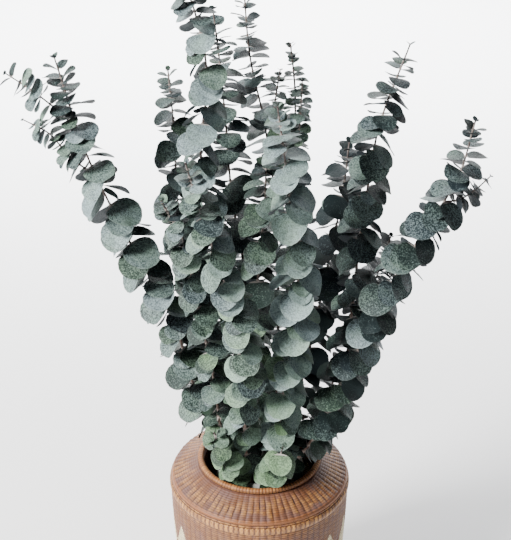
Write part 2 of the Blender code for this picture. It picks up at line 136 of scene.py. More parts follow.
class Sheet:
    """The node sheet of one material, with its Principled shader."""

    def __init__(self, name: str) -> None:
        """Make the material and find its shader."""
        self.material = bpy.data.materials.new(name)
        self.material.use_nodes = True
        self.tree = self.material.node_tree
        self.shader = self.tree.nodes["Principled BSDF"]

    def feed(self, entry: bpy.types.NodeSocket, value: Feed) -> None:
        """Link an input to a socket, or set it to a number or colour.

        Args:
            entry: the input.
            value: the socket, number or colour.
        """
        if isinstance(value, Socket):
            self.tree.links.new(value.source, entry)
        elif entry.type == "RGBA":
            entry.default_value = (*value, 1.0)
        else:
            entry.default_value = value

    def node(self, kind: str, settings: Mapping[str, object],
             feeds: Mapping[Union[str, int], Feed], output: Union[str, int] = 0) -> Socket:
        """Add a node.

        Args:
            kind: the node's type.
            settings: its own settings, set before its inputs.
            feeds: values or links for its inputs, by name or number.
            output: the output that is wanted.

        Returns:
            That output.
        """
        made = self.tree.nodes.new(kind)
        for name, value in settings.items():
            setattr(made, name, value)
        for name, value in feeds.items():
            self.feed(made.inputs[name], value)
        return Socket(self, made.outputs[output])

    def math(self, operation: str, *values: Feed) -> Socket:
        """Add a Math node for an operation on its values."""
        return self.node("ShaderNodeMath", {"operation": operation}, dict(enumerate(values)))

    def mix(self, share: Feed, low: Feed, high: Feed) -> Socket:
        """Return a blend of two colours, all low at a share of 0 and all high at 1."""
        return self.node("ShaderNodeMix", {"data_type": "RGBA", "clamp_factor": True},
                         {0: share, 6: low, 7: high}, 2)

    def noise(self, place: Socket, scale: float, detail: float = 2.0) -> Socket:
        """Return noise of a scale (patches per metre) at a place."""
        return self.node("ShaderNodeTexNoise", {},
                         {"Vector": place, "Scale": scale, "Detail": detail})

    def chance(self, first: Feed, second: Feed) -> Socket:
        """Return a steady random number for a pair of whole numbers."""
        pair = self.node("ShaderNodeCombineXYZ", {}, {0: first, 1: second})
        return self.node("ShaderNodeTexWhiteNoise", {"noise_dimensions": "2D"}, {"Vector": pair})

    def place(self) -> Socket:
        """Return the point on the piece, in metres."""
        return self.node("ShaderNodeTexCoord", {}, {}, "Object")

    def mark(self, name: Mark) -> Socket:
        """Return a number that the mesh carries."""
        return self.node("ShaderNodeAttribute", {"attribute_name": name.value}, {}, "Fac")

    def side(self, vector: Socket, index: int) -> Socket:
        """Return one of a vector's three numbers."""
        return self.node("ShaderNodeSeparateXYZ", {}, {0: vector}, index)

    def uv(self, name: str) -> tuple[Socket, Socket]:
        """Return the two coordinates of a UV map."""
        pair = self.node("ShaderNodeUVMap", {"uv_map": name}, {})
        return self.side(pair, 0), self.side(pair, 1)

    def finish(self, colour: Feed, roughness: Feed, specular: float = 0.5,
               height: Socket | None = None, depth: float = 0.0) -> bpy.types.Material:
        """Feed the shader.

        Args:
            colour: the base colour.
            roughness: the roughness.
            specular: the strength of the mirror-like reflection.
            height: the relief, from 0 to 1, if there is one.
            depth: the height of the relief in metres.

        Returns:
            The material.
        """
        feeds = {"Base Color": colour, "Roughness": roughness, "Specular IOR Level": specular}
        if height is not None:
            feeds["Normal"] = self.node("ShaderNodeBump", {}, {
                "Height": height, "Distance": depth, "Strength": 1.0})
        for name, value in feeds.items():
            self.feed(self.shader.inputs[name], value)
        return self.material


@dataclass(frozen=True)
class WaxyLeaf:
    """The leaf's finish: a grainy pale bloom over blue-green, thinner along its veins."""

    deep_blue: Colour = (0.010, 0.018, 0.022)
    deep_green: Colour = (0.012, 0.028, 0.014)
    pale_blue: Colour = (0.275, 0.362, 0.378)
    pale_green: Colour = (0.180, 0.296, 0.158)
    # the underside: its own grey-purple, set darker as painted shade
    back_deep: Colour = (0.020, 0.027, 0.033)
    back_pale: Colour = (0.120, 0.140, 0.148)
    vein_pale: Colour = (0.420, 0.480, 0.430)
    petiole: Colour = (0.480, 0.440, 0.410)
    mottle_scale: float = 320.0
    grain_scale: float = 740.0
    speckle_scale: float = 1000.0
    patch_scale: float = 50.0
    wander_scale: float = 260.0
    veins: float = 5.2
    root: float = 0.06
    relief: float = 0.5 * MM

    def build(self) -> bpy.types.Material:
        """Make the material; the mesh carries each leaf's bloom, which is partly painted shade,
        and its greenness.
        """
        sheet = Sheet("waxy_leaf")
        place = sheet.place()
        along, across = sheet.uv("leaf")
        side = across - 0.5
        # bloom is partly painted shade: the stems at the right and the low leaves are set darker
        bloom = sheet.mark(Mark.BLOOM)
        mottle = sheet.noise(place, self.mottle_scale, 3.0)
        grain = sheet.noise(place, self.grain_scale).step(0.36, 0.64)
        speckle = sheet.noise(place, self.speckle_scale, 1.0).step(0.58, 0.68)
        patch = sheet.noise(place, self.patch_scale)

        reach = along + self.root
        wander = sheet.noise(place, self.wander_scale) * 0.55
        angle = sheet.math("ARCTAN2", side, reach) * self.veins + wander
        fan = sheet.math("PINGPONG", angle, 0.5) * reach
        vein = (1 - fan.step(0.0, 0.070)) * (1 - along.step(0.20, 0.75))
        rib = (1 - abs(side).step(0.003, 0.016)) * (1 - along.step(0.45, 1.0))
        lines = sheet.math("MAXIMUM", vein * 0.7, rib * 0.9)

        share = bloom + (mottle - 0.5) * 0.7 + (patch - 0.5) * 0.5 + (grain - 0.5) * 0.46
        share = share + speckle * 0.22 + rib * (0.14 + bloom * 0.22) - vein * 0.36
        green = sheet.mark(Mark.GREEN)
        deep = sheet.mix(green, self.deep_blue, self.deep_green)
        pale = sheet.mix(green + (patch - 0.5) * 0.9, self.pale_blue, self.pale_green)
        # painted shade: the underside is much darker than the upper side, partly its own
        # grey-purple
        back = sheet.mix(share * 0.75, self.back_deep, self.back_pale)
        colour = sheet.mix(sheet.mark(Mark.UNDER), sheet.mix(share, deep, pale), back)
        edge = sheet.mark(Mark.RIM).step(0.94, 0.99)
        colour = sheet.mix(edge * (0.05 + bloom * 0.22), colour, self.vein_pale)
        stalk = 1 - along.step(0.015, 0.10)
        colour = sheet.mix(stalk * 0.75, colour, self.petiole)
        height = mottle * 0.4 + grain * 0.3 + lines * 0.3
        return sheet.finish(colour, 0.46 + mottle * 0.32, 0.30, height, self.relief)


@dataclass(frozen=True)
class StemBark:
    """The stem's finish: tan and rosy near the mouth, dark purple-brown towards the tip."""

    low: Colour = (0.210, 0.120, 0.082)
    high: Colour = (0.030, 0.020, 0.021)
    bloom: Colour = (0.230, 0.190, 0.175)
    ring: Colour = (0.440, 0.380, 0.345)
    streak_scale: float = 420.0
    patch_scale: float = 90.0
    relief: float = 0.25 * MM

    def build(self) -> bpy.types.Material:
        """Make the material; the mesh carries the place along the stem and the nodes."""
        sheet = Sheet("stem_bark")
        place = sheet.place()
        streak = sheet.noise(place, self.streak_scale, 3.0)
        patch = sheet.noise(place, self.patch_scale)
        along = sheet.mark(Mark.ALONG) + (patch - 0.5) * 0.5
        colour = sheet.mix(along, self.low, self.high)
        colour = sheet.mix(streak.step(0.45, 0.75) * 0.45, colour, self.bloom)
        colour = sheet.mix(sheet.mark(Mark.NODE) * 0.7, colour, self.ring)
        return sheet.finish(colour, 0.5 + streak * 0.3, 0.3, streak, self.relief)


@dataclass(frozen=True)
class WovenCane:
    """The vase's finish: brown stained cane with golden breaks, brightest along the middles of the
    stakes.
    """

    zone: Zone
    umber: Colour = (0.024, 0.009, 0.007)
    plum: Colour = (0.165, 0.082, 0.064)
    brown: Colour = (0.165, 0.064, 0.027)
    golden: Colour = (0.540, 0.265, 0.075)
    orange: Colour = (0.310, 0.112, 0.032)
    cream: Colour = (0.740, 0.640, 0.400)
    fibre_scale: float = 900.0
    worn_scale: float = 55.0
    blotch_scale: float = 240.0
    relief: float = 0.5 * MM
    lozenge_stakes: float = 5.0
    lozenge_half_stakes: float = 2.3
    lozenge_half_rows: float = 13.0
    lozenge_row: float = 28.5
    lozenge_turn: float = 3.6

    def lozenges(self, sheet: Sheet, turn: Socket, row: Socket) -> Socket:
        """A row of stepped lozenges round the wall.

        Args:
            sheet: the material's sheet.
            turn: the place round the vase, in stakes.
            row: the whole number of the row, from the shoulder down.

        Returns:
            1 inside a lozenge and 0 outside.
        """
        away = sheet.math("PINGPONG", turn + self.lozenge_turn, self.lozenge_stakes / 2)
        fall = abs(row + 0.5 - self.lozenge_row) / self.lozenge_half_rows
        return sheet.math("LESS_THAN", away / self.lozenge_half_stakes + fall, 1.0)

    def build(self) -> bpy.types.Material:
        """Make the material; the UV map counts stakes one way and rows of cane the other."""
        wall = self.zone is Zone.WALL
        sheet = Sheet(self.zone.value)
        place = sheet.place()
        turn, fall = sheet.uv("weave")
        stake = turn.floor()
        row = fall.floor()
        fibre = sheet.noise(place, self.fibre_scale)
        worn = sheet.noise(place, self.worn_scale, 3.0)
        blotch = sheet.noise(place, self.blotch_scale)
        cell = sheet.chance(stake, row)
        column = sheet.chance(stake, 7.0)
        half = sheet.chance((turn * 2).floor(), row)

        gap = 1 - fall.near().step(0.02, 0.24)
        seam = 1 - (turn + (blotch - 0.5) * 0.24).near().step(0.02, 0.22)
        seam = seam * (0.45 + sheet.chance((turn + 0.5).floor(), (fall / 3).floor()) * 0.75)
        ragged = (column - 0.5) * 4.0 + (worn - 0.5) * 9.0
        if self.zone is Zone.SHOULDER:
            streak = (fall + ragged).step(1.2, 3.4) * (1 - (fall + ragged * 1.2).step(7.0, 10.5))
            ground = sheet.mix(worn.step(0.35, 0.65), self.plum, self.brown)
            ground = sheet.mix((1 - fall.step(0.3, 0.8)) * 0.7, ground, self.orange)
        elif wall:
            streak = 1 - (fall + ragged).step(3.0, 9.0) * 0.62
            ground = sheet.mix(worn.step(0.30, 0.60), self.plum, self.brown)
        else:
            streak = 0.80 + (worn - 0.5) * 1.2
            ground = sheet.mix(worn, self.brown, self.orange)
        streak = streak.clamp()
        gold = sheet.mix(column * 0.5 + half * 0.5, self.orange, self.golden)
        bright = streak * (0.12 + cell * 0.34 + half * 0.40) * (1 - seam * 0.9)
        bright = bright + blotch.step(0.55, 0.75) * streak * 0.25
        colour = sheet.mix(bright.clamp(), ground, gold)
        colour = sheet.mix((fibre - 0.35) * 0.55, colour, self.umber)
        if wall:
            lozenges = self.lozenges(sheet, turn, row) * (0.72 + cell * 0.28)
            colour = sheet.mix(lozenges, colour, self.cream)
        line, crease = (0.60, 0.20) if wall else (0.22, 0.62)
        colour = sheet.mix(gap * (line + blotch * 0.55), colour, self.umber)
        colour = sheet.mix(seam * (0.12 + streak * crease), colour, self.umber)
        height = (1 - gap) * 0.45 + (1 - seam) * 0.25 + fibre * 0.30
        return sheet.finish(colour, 0.42 + fibre * 0.25, 0.40, height, self.relief)


@dataclass(frozen=True)
class PlaitedCane:
    """The finish of a free strand: golden cane, stained dark between its wraps."""

    name: str
    light: Colour
    dark: Colour
    wraps: float
    umber: Colour = (0.03, 0.012, 0.008)
    fibre_scale: float = 900.0
    worn_scale: float = 90.0
    relief: float = 0.3 * MM

    def build(self) -> bpy.types.Material:
        """Make the material on the piece's own coordinates."""
        sheet = Sheet(self.name)
        place = sheet.place()
        fibre = sheet.noise(place, self.fibre_scale, 3.0)
        worn = sheet.noise(place, self.worn_scale, 3.0)
        turn = sheet.math("ARCTAN2", sheet.side(place, 1), sheet.side(place, 0))
        turn = turn * (self.wraps / math.tau)
        wrap = turn.near().step(0.08, 0.30)
        chance = sheet.chance(turn.floor(), 3.0)
        share = wrap * (0.20 + worn.step(0.35, 0.62) * 0.45 + chance * 0.45)
        colour = sheet.mix(share, self.dark, self.light)
        colour = sheet.mix((fibre - 0.35) * 0.6, colour, self.umber)
        return sheet.finish(colour, 0.44 + fibre * 0.2, height=fibre, depth=self.relief)


@dataclass(frozen=True)
class LinerPlastic:
    """The liner's finish: pale plastic, scratched on the inside, with painted shade below its rim.
    """

    pale: Colour = (0.50, 0.52, 0.47)
    # painted shade: the near-black colour of the liner below its rim
    painted_shade: Colour = (0.040, 0.038, 0.034)
    deep: float = 190 * MM
    fade: float = 40 * MM
    cloud_scale: float = 60.0
    relief: float = 0.1 * MM

    def build(self) -> bpy.types.Material:
        """Make the material; below its rim the liner takes painted shade."""
        sheet = Sheet("liner_plastic")
        place = sheet.place()
        cloud = sheet.noise(place, self.cloud_scale, 4.0)
        # painted shade: the liner goes dark below its rim, where the inside of the vase is in
        # shade
        clear_of_shade = sheet.side(place, 2).step(self.deep, self.deep + self.fade)
        share = (1 - clear_of_shade) * 0.8 + (cloud - 0.5) * 0.4
        colour = sheet.mix(share, self.pale, self.painted_shade)
        return sheet.finish(colour, 0.35 + cloud * 0.3, height=cloud, depth=self.relief)


@dataclass(frozen=True)
class PaleFloor:
    """The studio floor's finish: matt off-white with a trace of unevenness."""

    pale: Colour = (0.93, 0.93, 0.93)
    soft: Colour = (0.90, 0.90, 0.91)
    cloud_scale: float = 3.0

    def build(self) -> bpy.types.Material:
        """Make the material."""
        sheet = Sheet("pale_floor")
        cloud = sheet.noise(sheet.place(), self.cloud_scale)
        return sheet.finish(sheet.mix(cloud, self.soft, self.pale), 0.9, 0.1)


def show(name: str, data: bpy.types.ID) -> bpy.types.Object:
    """Put an object with its data in the scene."""
    made = bpy.data.objects.new(name, data)
    bpy.context.scene.collection.objects.link(made)
    return made


def add_piece(name: str, bm: bmesh.types.BMesh, finish: bpy.types.Material,
              nodes: Iterable[str]) -> bpy.types.Object:
    """Put a finished bmesh in the scene as a piece that stands for CAD nodes.

    Args:
        name: the piece's name.
        bm: its mesh, which is freed.
        finish: its material.
        nodes: the CAD nodes that it replaces.

    Returns:
        The object.
    """
    mesh = bpy.data.meshes.new(name)
    bm.to_mesh(mesh)
    bm.free()
    mesh.materials.append(finish)
    made = show(name, mesh)
    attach(made, "root")
    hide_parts(*nodes)
    mesh.calc_loop_triangles()
    LOG.info("%s: %d triangles", name, len(mesh.loop_triangles))
    return made


def absorb(whole: bmesh.types.BMesh, part: bmesh.types.BMesh, copies: int = 1) -> None:
    """Move a mesh into another.

    Args:
        whole: the mesh that it goes into.
        part: the mesh, which is freed.
        copies: how many times it goes in.
    """
    mesh = bpy.data.meshes.new("part")
    part.to_mesh(mesh)
    part.free()
    for _ in range(copies):
        whole.from_mesh(mesh)
    bpy.data.meshes.remove(mesh)


def tree_of(bm: bmesh.types.BMesh) -> BVHTree:
    """Make a mesh's tree and free the mesh."""
    tree = BVHTree.FromBMesh(bm)
    bm.free()
    return tree


def smooth(bm: bmesh.types.BMesh) -> None:
    """Shade every face of a mesh smooth."""
    for face in bm.faces:
        face.smooth = True


def read(items: bpy.types.bpy_prop_collection, name: str, kind: type = int,
         width: int = 1) -> np.ndarray:
    """Read a property of a mesh's vertices, loops or polygons.

    Args:
        items: the vertices, loops or polygons.
        name: the property's name.
        kind: the type of its numbers.
        width: how many numbers each has.

    Returns:
        The numbers in one row.
    """
    values = np.empty(len(items) * width, kind)
    items.foreach_get(name, values)
    return values


class Twig(NamedTuple):
    """A side shoot: the height in mm where it leaves its stem, and its route in mm."""

    height: float
    route: tuple[Point, ...]
    leaf: float


class Stem(NamedTuple):
    """A leafy stem: its route, how its leaves sit (mm, deg), and how pale and green they are; its
    paleness is partly painted shade on the stems at the right.
    """

    name: str
    mouth: tuple[float, float]
    route: tuple[Point, ...]
    leaf: float
    first: float
    pitch: float
    roll: float
    droop: float
    bloom: float
    green: float
    twigs: tuple[Twig, ...] = ()


# Each stem's bloom, the number just before its greenness, is set low on the stems at the right:
# partly their darker colour, partly painted shade.
STEMS = (
    Stem("stem_front_right", (20, -25), ((24, -48, 340), (35, -68, 440), (36, -80, 515),
         (26, -88, 600), (15, -95, 680)), 34, 262, 23, 0, 36, 0.98, 0.22),
    Stem("stem_front_left", (-12, -27), ((-16, -58, 340), (-15, -84, 425), (-34, -108, 515),
         (-50, -128, 580), (-65, -142, 645)), 30, 262, 22, 40, 38, 0.52, 0.34),
    Stem("stem_far_left", (-35, 15), ((-60, 10, 285), (-92, -5, 415), (-130, -20, 510),
         (-165, -30, 605), (-190, -32, 706)), 36, 285, 24, 45, 32, 0.42, 0.22,
         (Twig(635, ((-192, -31, 655), (-211, -32, 672), (-236, -36, 692)), 22),
          Twig(585, ((-182, -30, 606), (-200, -38, 634), (-222, -45, 650)), 17))),
    Stem("stem_far_right", (34, -25), ((70, -42, 312), (96, -50, 390), (116, -60, 455),
         (155, -70, 545), (184, -75, 606), (195, -75, 660)), 33, 285, 23, 45, 32, 0.22, 0.10,
         (Twig(578, ((186, -68, 578), (202, -60, 584), (218, -56, 598)), 18),)),
    Stem("stem_right", (41, -10), ((68, -10, 285), (90, -15, 360), (96, -20, 455),
         (105, -20, 565), (113, -20, 630), (139, -20, 715)), 32, 290, 23, 10, 34, 0.30, 0.14),
    Stem("stem_back_left", (-25, 30), ((-45, 32, 320), (-70, 30, 435), (-85, 30, 535),
         (-86, 30, 610), (-90, 26, 676)), 31, 330, 24, 20, 32, 0.44, 0.24),
    Stem("stem_tall_left", (-12, 10), ((-35, 6, 430), (-55, -4, 560), (-58, -10, 612),
         (-50, -10, 675), (-60, -10, 740), (-82, -10, 800)), 31, 350, 24, 5, 38, 0.60, 0.14),
    Stem("stem_tall_middle", (-7, 41), ((-15, 46, 435), (-30, 50, 540), (-35, 50, 615),
         (-40, 50, 675), (-46, 50, 730)), 31, 370, 24, 80, 12, 0.34, 0.15),
    Stem("stem_top_centre", (12, 40), ((20, 62, 425), (14, 76, 540), (4, 82, 605),
         (-10, 86, 670), (-16, 86, 738)), 27, 390, 24, 80, 2, 0.36, 0.12),
    Stem("stem_right_dark", (27, 4), ((58, 20, 385), (75, 28, 480), (86, 30, 550),
         (90, 30, 600)), 36, 320, 24, 30, 32, -0.05, 0.10),
    Stem("stem_centre", (0, -5), ((-5, -22, 415), (0, -34, 505), (4, -40, 555),
         (6, -45, 618)), 30, 330, 24, 15, 36, 0.24, 0.45),
    Stem("stem_inner_left", (-35, -12), ((-52, -30, 380), (-66, -42, 465), (-72, -60, 525),
         (-92, -84, 584)), 28, 310, 23, 50, 32, 0.34, 0.25),
    Stem("stem_short_right", (39, 15), ((84, 42, 310), (110, 58, 375), (130, 64, 435),
         (142, 66, 478)), 31, 305, 23, 50, 28, -0.08, 0.10),
    Stem("stem_small_leaved", (27, 31), ((36, 42, 435), (35, 50, 550), (36, 55, 600),
         (35, 55, 650), (30, 55, 694)), 18, 450, 21, 75, 4, 0.56, 0.40,
         (Twig(560, ((40, 46, 605), (41, 40, 632), (42, 40, 662)), 15),
          Twig(540, ((20, 44, 600), (15, 40, 628), (20, 40, 672)), 15))),
    Stem("sprig_mouth_left", (-23, -35), ((-32, -50, 262), (-40, -58, 288), (-48, -64, 312)),
         26, 240, 15, 10, 34, 0.46, 0.90),
    Stem("sprig_mouth_front", (10, -41), ((15, -57, 259), (20, -68, 280), (24, -76, 302)),
         30, 243, 14, 8, 50, 0.40, 0.85),
    Stem("sprig_mouth_right", (41, 2), ((66, 2, 268), (84, -4, 296), (98, -8, 326)),
         29, 246, 16, 40, 30, 0.00, 0.30),
)


class Axis:
    """A smooth line through a stem's route, read by its length from the foot."""

    STEP = 2 * MM
    LOOK = 3 * MM

    def __init__(self, route: Sequence[Sequence[float]]) -> None:
        """Draw the line.

        Args:
            route: the points that it passes, in metres.
        """
        points = np.array(route, float)
        steps = np.diff(points, axis=0)
        spans = np.linalg.norm(steps, axis=1)
        slopes = steps / spans[:, None]
        lean = np.vstack([slopes[:1], slopes, slopes[-1:]])
        reach = np.concatenate([spans[:1], spans, spans[-1:]])
        tangents = (lean[:-1] * reach[1:, None] + lean[1:] * reach[:-1, None])
        tangents /= (reach[1:] + reach[:-1])[:, None]
        line = []
        for low, high, span, start, end in zip(points, points[1:], spans, tangents, tangents[1:]):
            for t in np.arange(0, 1, self.STEP / span):
                line.append((2 * t**3 - 3 * t**2 + 1) * low + (t**3 - 2 * t**2 + t) * span * start
                            + (3 * t**2 - 2 * t**3) * high + (t**3 - t**2) * span * end)
        line.append(points[-1])
        self.line = np.array(line)
        hops = np.linalg.norm(np.diff(self.line, axis=0), axis=1)
        self.along = np.concatenate([[0], np.cumsum(hops)])
        self.length = float(self.along[-1])

    def at(self, place: float) -> Vector:
        """The point at a length from the foot."""
        return Vector([float(np.interp(place, self.along, side)) for side in self.line.T])

    def heading(self, place: float) -> Vector:
        """The direction of growth at a length from the foot."""
        return (self.at(place + self.LOOK) - self.at(place - self.LOOK)).normalized()

    def at_height(self, height: float) -> float:
        """The length from the foot where the stem first passes a height."""
        return float(self.along[int(np.argmax(self.line[:, 2] >= height))])


@dataclass
class Shoot:
    """One axis with the radii at its ends, and how its leaves grow."""

    axis: Axis
    foot: float
    tip: float
    start: float
    leaf: float
    pitch: float
    roll: float
    droop: float
    cut_level: bool

    def radius(self, place: float) -> float:
        """The shoot's radius at a length from its foot."""
        return self.foot + (self.tip - self.foot) * place / self.axis.length

    def frame(self, place: float, turn: float, radius: float) -> Matrix:
        """A ring's own frame: +Z along the growth, +X turned round it from the viewer's side.

        Args:
            place: the length from the foot.
            turn: the turn round the growth, in radians.
            radius: the scale of the frame.

        Returns:
            The frame.
        """
        level = self.cut_level and place <= 0
        growth = Vector((0, 0, 1)) if level else self.axis.heading(place)
        toward = (VIEWER - VIEWER.dot(growth) * growth).normalized()
        across = growth.cross(toward)
        base = Matrix((toward, across, growth)).transposed().to_4x4()
        there = Matrix.Translation(self.axis.at(place)) @ base
        return there @ Matrix.Rotation(turn, 4, "Z") @ Matrix.Diagonal((radius, radius, radius, 1))


class Leaf(NamedTuple):
    """A placed leaf: its frame, its length, and how far up the leafy stretch it is."""

    frame: Matrix
    length: float
    share: float


@dataclass(frozen=True)
class Blade:
    """The round leaf's shape, in shares of its length, and how fine its mesh is."""

    width: float = 1.12
    lobe: float = 0.12
    cup: float = 0.07
    curl: float = 0.10
    thick_place: float = 0.38
    room_sides: int = 8
    room_thickness: float = 1.5 * MM
    sides: int = 18
    thickness: float = 0.55 * MM
    ripple: float = 0.022
    waver: float = 0.030
    fold: float = 0.16
    sunk: float = 0.8 * MM
    trim: float = 0.90
    inner_ring: float = 0.9
    uneven: tuple[float, float] = (0.3, 1.3)
    tip_notch: tuple[float, float] = (-0.04, 0.02)
    tip_sharpness: int = 6
    wavering: tuple[float, float] = (0.3, 1.5)

    def outline(self, turn: float, length: float) -> tuple[float, float]:
        """A point of the edge; turn runs from 0 at the root through pi at the apex."""
        back = self.lobe * math.sin(turn) ** 2 * (1 + math.cos(turn)) / 2
        return (length * ((1 - math.cos(turn)) / 2 - back),
                length * self.width / 2 * math.sin(turn))

    def height(self, along: float, across: float, length: float) -> float:
        """How far the middle surface stands above the chord: a cup that curls down."""
        return (self.cup * across**2 - self.curl * along**2) / length * 2

    def room(self, length: float, swell: float) -> bmesh.types.BMesh:
        """The leaf as a swollen lens, which shows the room that it needs.

        Args:
            length: the leaf's length.
            swell: how far the lens stands off the leaf.

        Returns:
            The lens, in the leaf's own frame.
        """
        bm = bmesh.new()
        bmesh.ops.create_uvsphere(bm, u_segments=self.room_sides, v_segments=2, radius=1.0)
        for vert in bm.verts:
            if abs(vert.co.z) > 0.5:
                along = self.thick_place * length
                lift = math.copysign(self.room_thickness / 2 + swell, vert.co.z)
                vert.co = (along, 0, self.height(along, 0, length) + lift)
            else:
                turn = math.atan2(vert.co.y, -vert.co.x)
                along, across = self.outline(turn, length)
                height = self.height(along, across, length)
                side = Vector((along - length / 2, across, 0)).normalized() * swell
                vert.co = Vector((along, across, height)) + side
        bmesh.ops.recalc_face_normals(bm, faces=bm.faces)
        return bm

    def lenses(self, count: int) -> bmesh.types.BMesh:
        """Make a number of unit lenses in one mesh, in the order that they are copied.

        Args:
            count: how many.

        Returns:
            The mesh, with every rim marked sharp.
        """
        lens = bmesh.new()
        bmesh.ops.create_uvsphere(lens, u_segments=self.sides, v_segments=4, radius=1.0)
        smooth(lens)
        for edge in lens.edges:
            edge.smooth = any(abs(vert.co.z) > 0.1 for vert in edge.verts)
        whole = bmesh.new()
        absorb(whole, lens, count)
        return whole

    def piece(self, name: str, node: str, leaves: Sequence[Leaf], bloom: np.ndarray,
              green: np.ndarray, finish: bpy.types.Material,
              rng: np.random.Generator) -> bpy.types.Object:
        """Build fine leaves: thin lenses, each with its own outline, fold and waver.

        Args:
            name: the piece's name.
            node: the CAD node that it stands for.
            leaves: where each leaf is and how long it is.
            bloom: how pale each leaf is, partly painted shade.
            green: how green each leaf is.
            finish: its material.
            rng: the stem's own run of chance.

        Returns:
            The object.
        """
        made = add_piece(name, self.lenses(len(leaves)), finish, [node])
        mesh = made.data
        lens = read(mesh.vertices, "co", float, 3).reshape(len(leaves), -1, 3)[0]
        upper = lens[:, 2]
        out = np.hypot(lens[:, 0], lens[:, 1])
        turn = np.arctan2(lens[:, 1], -lens[:, 0])
        rim = out > 0.95
        ring = np.where(rim, out, out * self.inner_ring)
        away = (1 - np.cos(turn)) / 2
        back = self.lobe * np.sin(turn) ** 2 * (1 + np.cos(turn)) / 2
        size = np.array([leaf.length for leaf in leaves])[:, None] * self.trim

        def draw(low: float, high: float) -> np.ndarray:
            """One number for each leaf."""
            return rng.uniform(low, high, (len(leaves), 1))

        uneven = self.ripple * draw(*self.uneven)
        edge = 1 + away * uneven * (np.sin(2 * turn + draw(0, math.tau))
                                    + 0.6 * np.sin(5 * turn + draw(0, math.tau)))
        apex = np.maximum(0.0, -np.cos(turn)) ** self.tip_sharpness
        edge += away * draw(*self.tip_notch) * apex
        centre = self.thick_place * size
        x = centre + (size * (away - back) * edge - centre) * ring
        y = size * self.width / 2 * np.sin(turn) * edge * ring
        rise = (self.cup * y**2 - self.curl * x**2) / size * 2
        rise += self.waver * draw(*self.wavering) * size * out**2 * away * np.sin(
            3 * turn + draw(0, math.tau))
        rise += draw(0.0, self.fold) * np.abs(y) * away
        x = np.where(rim & (np.abs(turn) < 0.01), -self.sunk, x)
        local = np.stack([x, y, rise + self.thickness / 2 * upper], axis=2)
        frames = np.array([leaf.frame for leaf in leaves])
        world = np.einsum("nij,nvj->nvi", frames[:, :3, :3], local) + frames[:, None, :3, 3]
        mesh.vertices.foreach_set("co", world.ravel())

        def keep(mark: Mark, values: np.ndarray) -> None:
            """Keep a number on each vertex for the finish."""
            layer = mesh.attributes.new(mark.value, "FLOAT", "POINT")
            layer.data.foreach_set("value", np.ascontiguousarray(values, float).ravel())

        keep(Mark.RIM, np.broadcast_to(ring, x.shape))
        keep(Mark.BLOOM, np.broadcast_to(bloom[:, None], x.shape))
        keep(Mark.GREEN, np.broadcast_to(green[:, None], x.shape))
        corner_vert = read(mesh.loops, "vertex_index")
        starts = read(mesh.polygons, "loop_start")
        low = np.minimum.reduceat(np.tile(upper, len(leaves))[corner_vert], starts)
        under = mesh.attributes.new(Mark.UNDER.value, "FLOAT", "FACE")
        under.data.foreach_set("value", (low < -0.1).astype(float))
        layer = mesh.uv_layers.new(name="leaf")
        flat = np.stack([(x / size).ravel(), (y / size + 0.5).ravel()], axis=1)
        layer.data.foreach_set("uv", flat[corner_vert].ravel())
        mesh.update()
        return made


class Growing:
    """The leaves placed so far, which the next leaf keeps clear of."""

    REACH = 0.6

    def __init__(self, blade: Blade, fixed: Sequence[BVHTree]) -> None:
        """Start with nothing grown.

        Args:
            blade: the leaf's shape.
            fixed: the vase's pieces that leaves stay off.
        """
        self.blade = blade
        self.fixed = fixed
        self.stems: dict[str, BVHTree] = {}
        self.centres: list[Point] = []
        self.reaches: list[float] = []
        self.trees: list[BVHTree] = []

    def room(self, there: Matrix, length: float, swell: float) -> BVHTree:
        """The tree of the room that a leaf takes."""
        bm = self.blade.room(length, swell)
        bm.transform(there)
        return tree_of(bm)

    def clear(self, owner: str, there: Matrix, length: float, swell: float) -> bool:
        """Whether a leaf stays off everything but its own stem.

        Args:
            owner: the name of the stem that it grows on.
            there: the leaf's frame.
            length: its length.
            swell: how much room it needs all round.

        Returns:
            True if it is clear.
        """
        wide = self.room(there, length, swell)
        others = [tree for name, tree in self.stems.items() if name != owner]
        if any(wide.overlap(tree) for tree in (*self.fixed, *others)):
            return False
        if not self.centres:
            return True
        centre = there @ Vector((length / 2, 0, 0))
        apart = np.linalg.norm(np.array(self.centres) - np.array(centre), axis=1)
        close = np.nonzero(apart < np.array(self.reaches) + self.REACH * length)[0]
        return not any(wide.overlap(self.trees[index]) for index in close)

    def add(self, there: Matrix, length: float) -> None:
        """Keep the place of a leaf."""
        self.trees.append(self.room(there, length, 0))
        self.centres.append(tuple(there @ Vector((length / 2, 0, 0))))
        self.reaches.append(self.REACH * length)


def in_metres(route: Iterable[Point]) -> list[Point]:
    """The points of a route that is written in millimetres."""
    return [tuple(side * MM for side in point) for point in route]


def strayed(rng: random.Random, spread: tuple[float, float], loose: float) -> float:
    """An angle either way by chance: spread is its usual reach and what looseness adds (deg)."""
    return math.radians(rng.uniform(-1, 1) * (spread[0] + spread[1] * loose))


